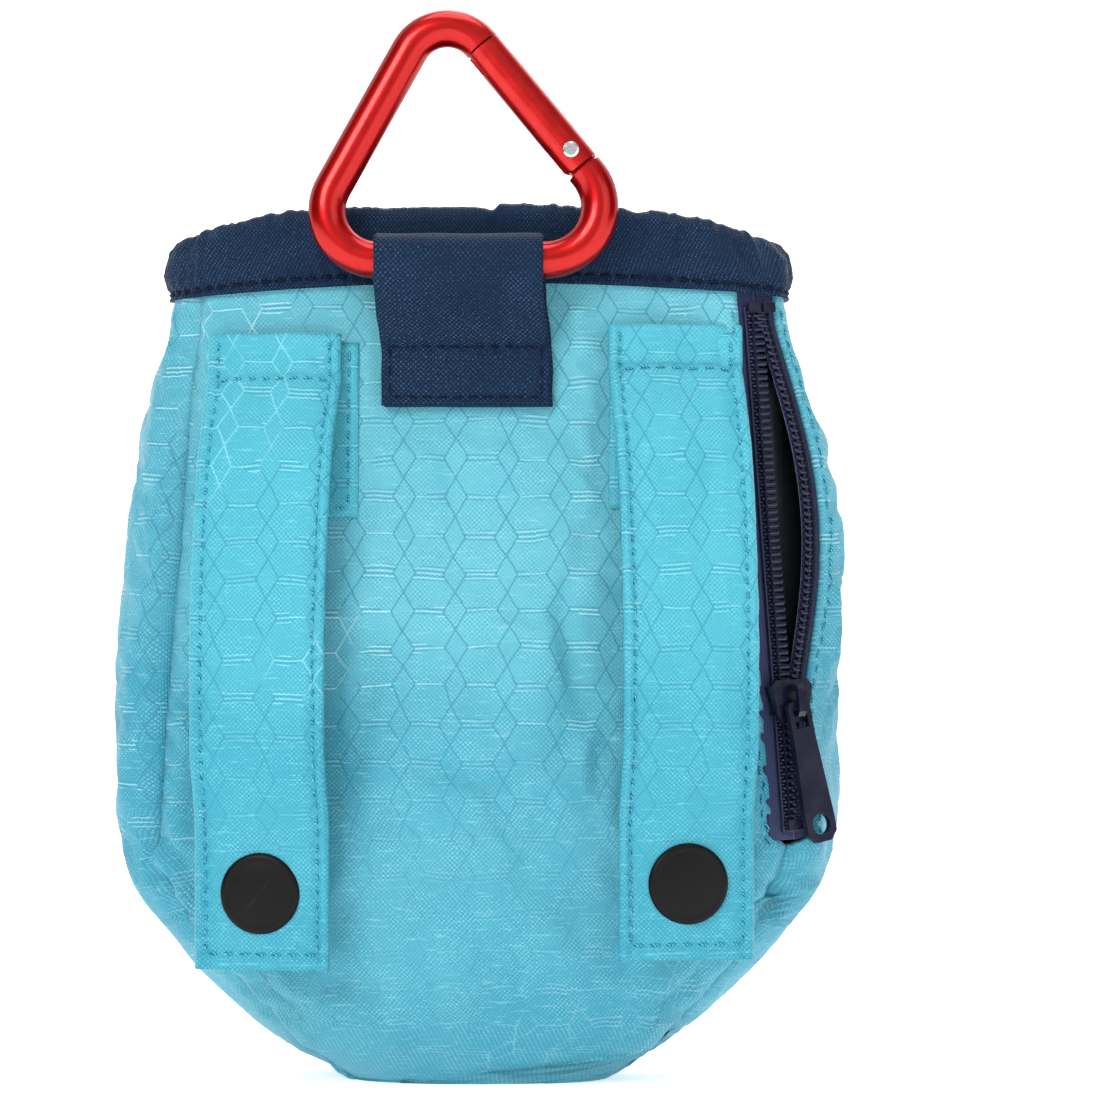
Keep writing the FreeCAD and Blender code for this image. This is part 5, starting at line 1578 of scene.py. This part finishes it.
def make_tapes():
    """The zipper's two strips of tape. The one on the side panel bows out and closes with the slider."""
    for side in ("back", "side"):
        sign = -1 if side == "back" else 1
        rows = 120
        columns = 10
        vertices, uvs = [], []
        for r in range(rows + 1):
            along = -1.2 + (ZIP_LENGTH + 6.0) * r / rows
            bow = row_bow(side, along)
            for layer in (0, 1):
                for c in range(columns + 1):
                    share = c / columns
                    x = sign * (0.12 + (TAPE_REACH + 0.9 - 0.12) * share) + bow
                    rise = 0.0 if layer == 0 else -0.5
                    rise += 0.25 * wobble(along * 0.09, share, 3 if side == "back" else 7) * (bow / MOUTH_BOW)
                    rise -= 0.35 * share
                    vertices.append(zip_point(x, along, rise))
                    uvs.append((x + 50, along))
        tape = new_object(side + "_tape", vertices, two_layer_faces(rows, columns), uvs)
        face_out(tape)
        finish_piece(tape, "pouch", TAPE, (side + "_zip_tape",))
        if side == "side":
            squash_to_line(tape)


def squash_to_line(obj):
    """Draws a bowed piece in to the meeting line as the slider goes up."""
    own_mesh(obj)


def tube(path, radii, sides=8, flatten=1.0):
    """Vertices and faces of a closed-ended tube along a path."""
    vertices, faces = [], []
    normal = None
    for i, p in enumerate(path):
        a, b = path[max(i - 1, 0)], path[min(i + 1, len(path) - 1)]
        along = (b - a).normalized()
        if normal is None:
            normal = along.orthogonal().normalized()
        normal = (normal - along * normal.dot(along)).normalized()
        other = along.cross(normal)
        radius = radii[i] if isinstance(radii, (list, tuple)) else radii
        for s in range(sides):
            turn = 2 * math.pi * s / sides
            vertices.append(p + (normal * math.cos(turn) + other * math.sin(turn) * flatten) * radius)
    faces = grid_faces(len(path), sides, wrap=True)
    faces.append(tuple(range(sides))[::-1])
    faces.append(tuple((len(path) - 1) * sides + s for s in range(sides)))
    return vertices, faces


def make_coils():
    """Each row of the coil zipper: nylon loops that lean together at the meeting line, and the stitching that
    holds them down."""
    pitch = 1.32
    for side in ("back", "side"):
        sign = -1 if side == "back" else 1
        vertices, faces = [], []
        along = 0.8 if side == "back" else 0.8 + pitch / 2
        while along < ZIP_LENGTH - 0.9:
            bow = row_bow(side, along)
            near = 0.05 if 0.5 > bow else 0.15

            def at(x, y, z):
                return zip_point(sign * x + bow, along + y, z)

            shut = bow < 0.4
            tip, point = (-0.35, -0.62) if shut else (near, 0.0)
            loop = [at(2.6, -0.3, 0.3), at(1.9, -0.32, 0.75), at(0.8, -0.28, 1.05), at(tip, -0.2, 1.1)]
            loop += [at(point, 0.0, 0.85), at(tip, 0.2, 0.55), at(0.8, 0.28, 0.4)]
            loop += [at(1.9, 0.34, 0.32), at(2.6, 0.4, 0.3)]
            radii = [0.26, 0.3, 0.33, 0.4, 0.42, 0.36, 0.3, 0.26, 0.24]
            v, f = tube(loop, radii, sides=7)
            base = len(vertices)
            vertices += v
            faces += [tuple(base + i for i in face) for face in f]
            along += pitch
        coil = new_object(side + "_coil", vertices, faces, uvs=[(0, 0)] * len(vertices))
        coil.data.materials.append(COIL)
        # A line of chain stitching over the loops' tails, and the ridge of cord under them.
        path = zip_row(side, 1.75, 1.02, 0.6, 0.8, 160)
        thread_size = {"pitch": pitch, "length": 1.5, "radius": 0.3, "dip": 0.12}
        chain = stitch_mesh("chain", path, [ZIP_FACE] * len(path), material=NAVY_THREAD, **thread_size)
        pieces = [coil, chain]
        for name, across, rise, radius in (("cord", 2.75, 0.25, 0.34), ("core", 1.3, 0.42, 0.42)):
            v, f = tube(zip_row(side, across, rise, 0.3, 0.5, 120), radius, sides=8)
            cord = new_object(name, v, f, uvs=[(0, 0)] * len(v))
            cord.data.materials.append(COIL)
            pieces.append(cord)
        coil = join(pieces, side + "_coil")
        finish_piece(coil, "pouch", None, (side + "_zip_coil",))
        if side == "side":
            squash_to_line(coil)


def tape_stitches():
    """The line of stitches that holds each tape under the cloth's folded edge, laid on the finished cloth."""
    pieces = []
    for sign, name, cloth in ((-1, "back", "back_cloth"), (1, "side", "right_side_cloth")):
        path, normals = [], []
        for a in np.linspace(-2, ZIP_LENGTH - 1, 130):
            bow = mouth_bow(a) if sign > 0 else 0.0
            above = zip_point(sign * (TAPE_REACH + 1.5) + bow, a, 3.0)
            found = bpy.data.objects[cloth].closest_point_on_mesh(above * MM)
            path.append(found[1] / MM)
            normals.append(found[2].lerp(ZIP_FACE, 0.4).normalized())
        pieces.append(stitch_mesh(name, path, normals, material=TEAL_THREAD, lift=0.05))
    row = join(pieces, "zip_stitches")
    finish_piece(row, "pouch")


# ------------------------------------------------------------------ CAD nodes that stay
BEVEL = {"segments": 2, "limit_method": "ANGLE", "angle_limit": math.radians(32), "harden_normals": False}


def dress(node, material, bevel=None):
    """Gives a CAD node its material and, if its edges are plain, a small bevel in mm."""
    obj = frame["nodes"][node]
    if not obj.material_slots:
        obj.data.materials.append(material)
    for s in obj.material_slots:
        s.material = material
    if bevel:
        add_modifier(obj, "BEVEL", width=bevel * MM, **BEVEL)


def dress_nodes():
    dress("zip_slider", SLIDER, 0.18)
    dress("zip_pull", PULL, 0.22)
    dress("zip_bottom_stop", SLIDER, 0.15)
    dress("zip_top_stops", SLIDER, 0.15)
    dress("carabiner_body", RED)
    dress("carabiner_gate", RED, 0.2)
    dress("gate_rivet", STEEL, 0.1)
    dress("gate_plunger", STEEL)
    dress("gate_spring", STEEL)
    dress("rim_elastic", ELASTIC)
    for side in ("left", "right"):
        for kind in ("socket", "stud", "post"):
            dress("%s_snap_%s" % (side, kind), BLACK)


set_stage()
make_panels()
make_lining()
make_key_pocket()
make_rim()
for strap_side in ("left", "right"):
    make_strap(strap_side)
    make_snap_cap(strap_side)
make_loop()
make_tapes()
make_coils()
tape_stitches()
dress_nodes()
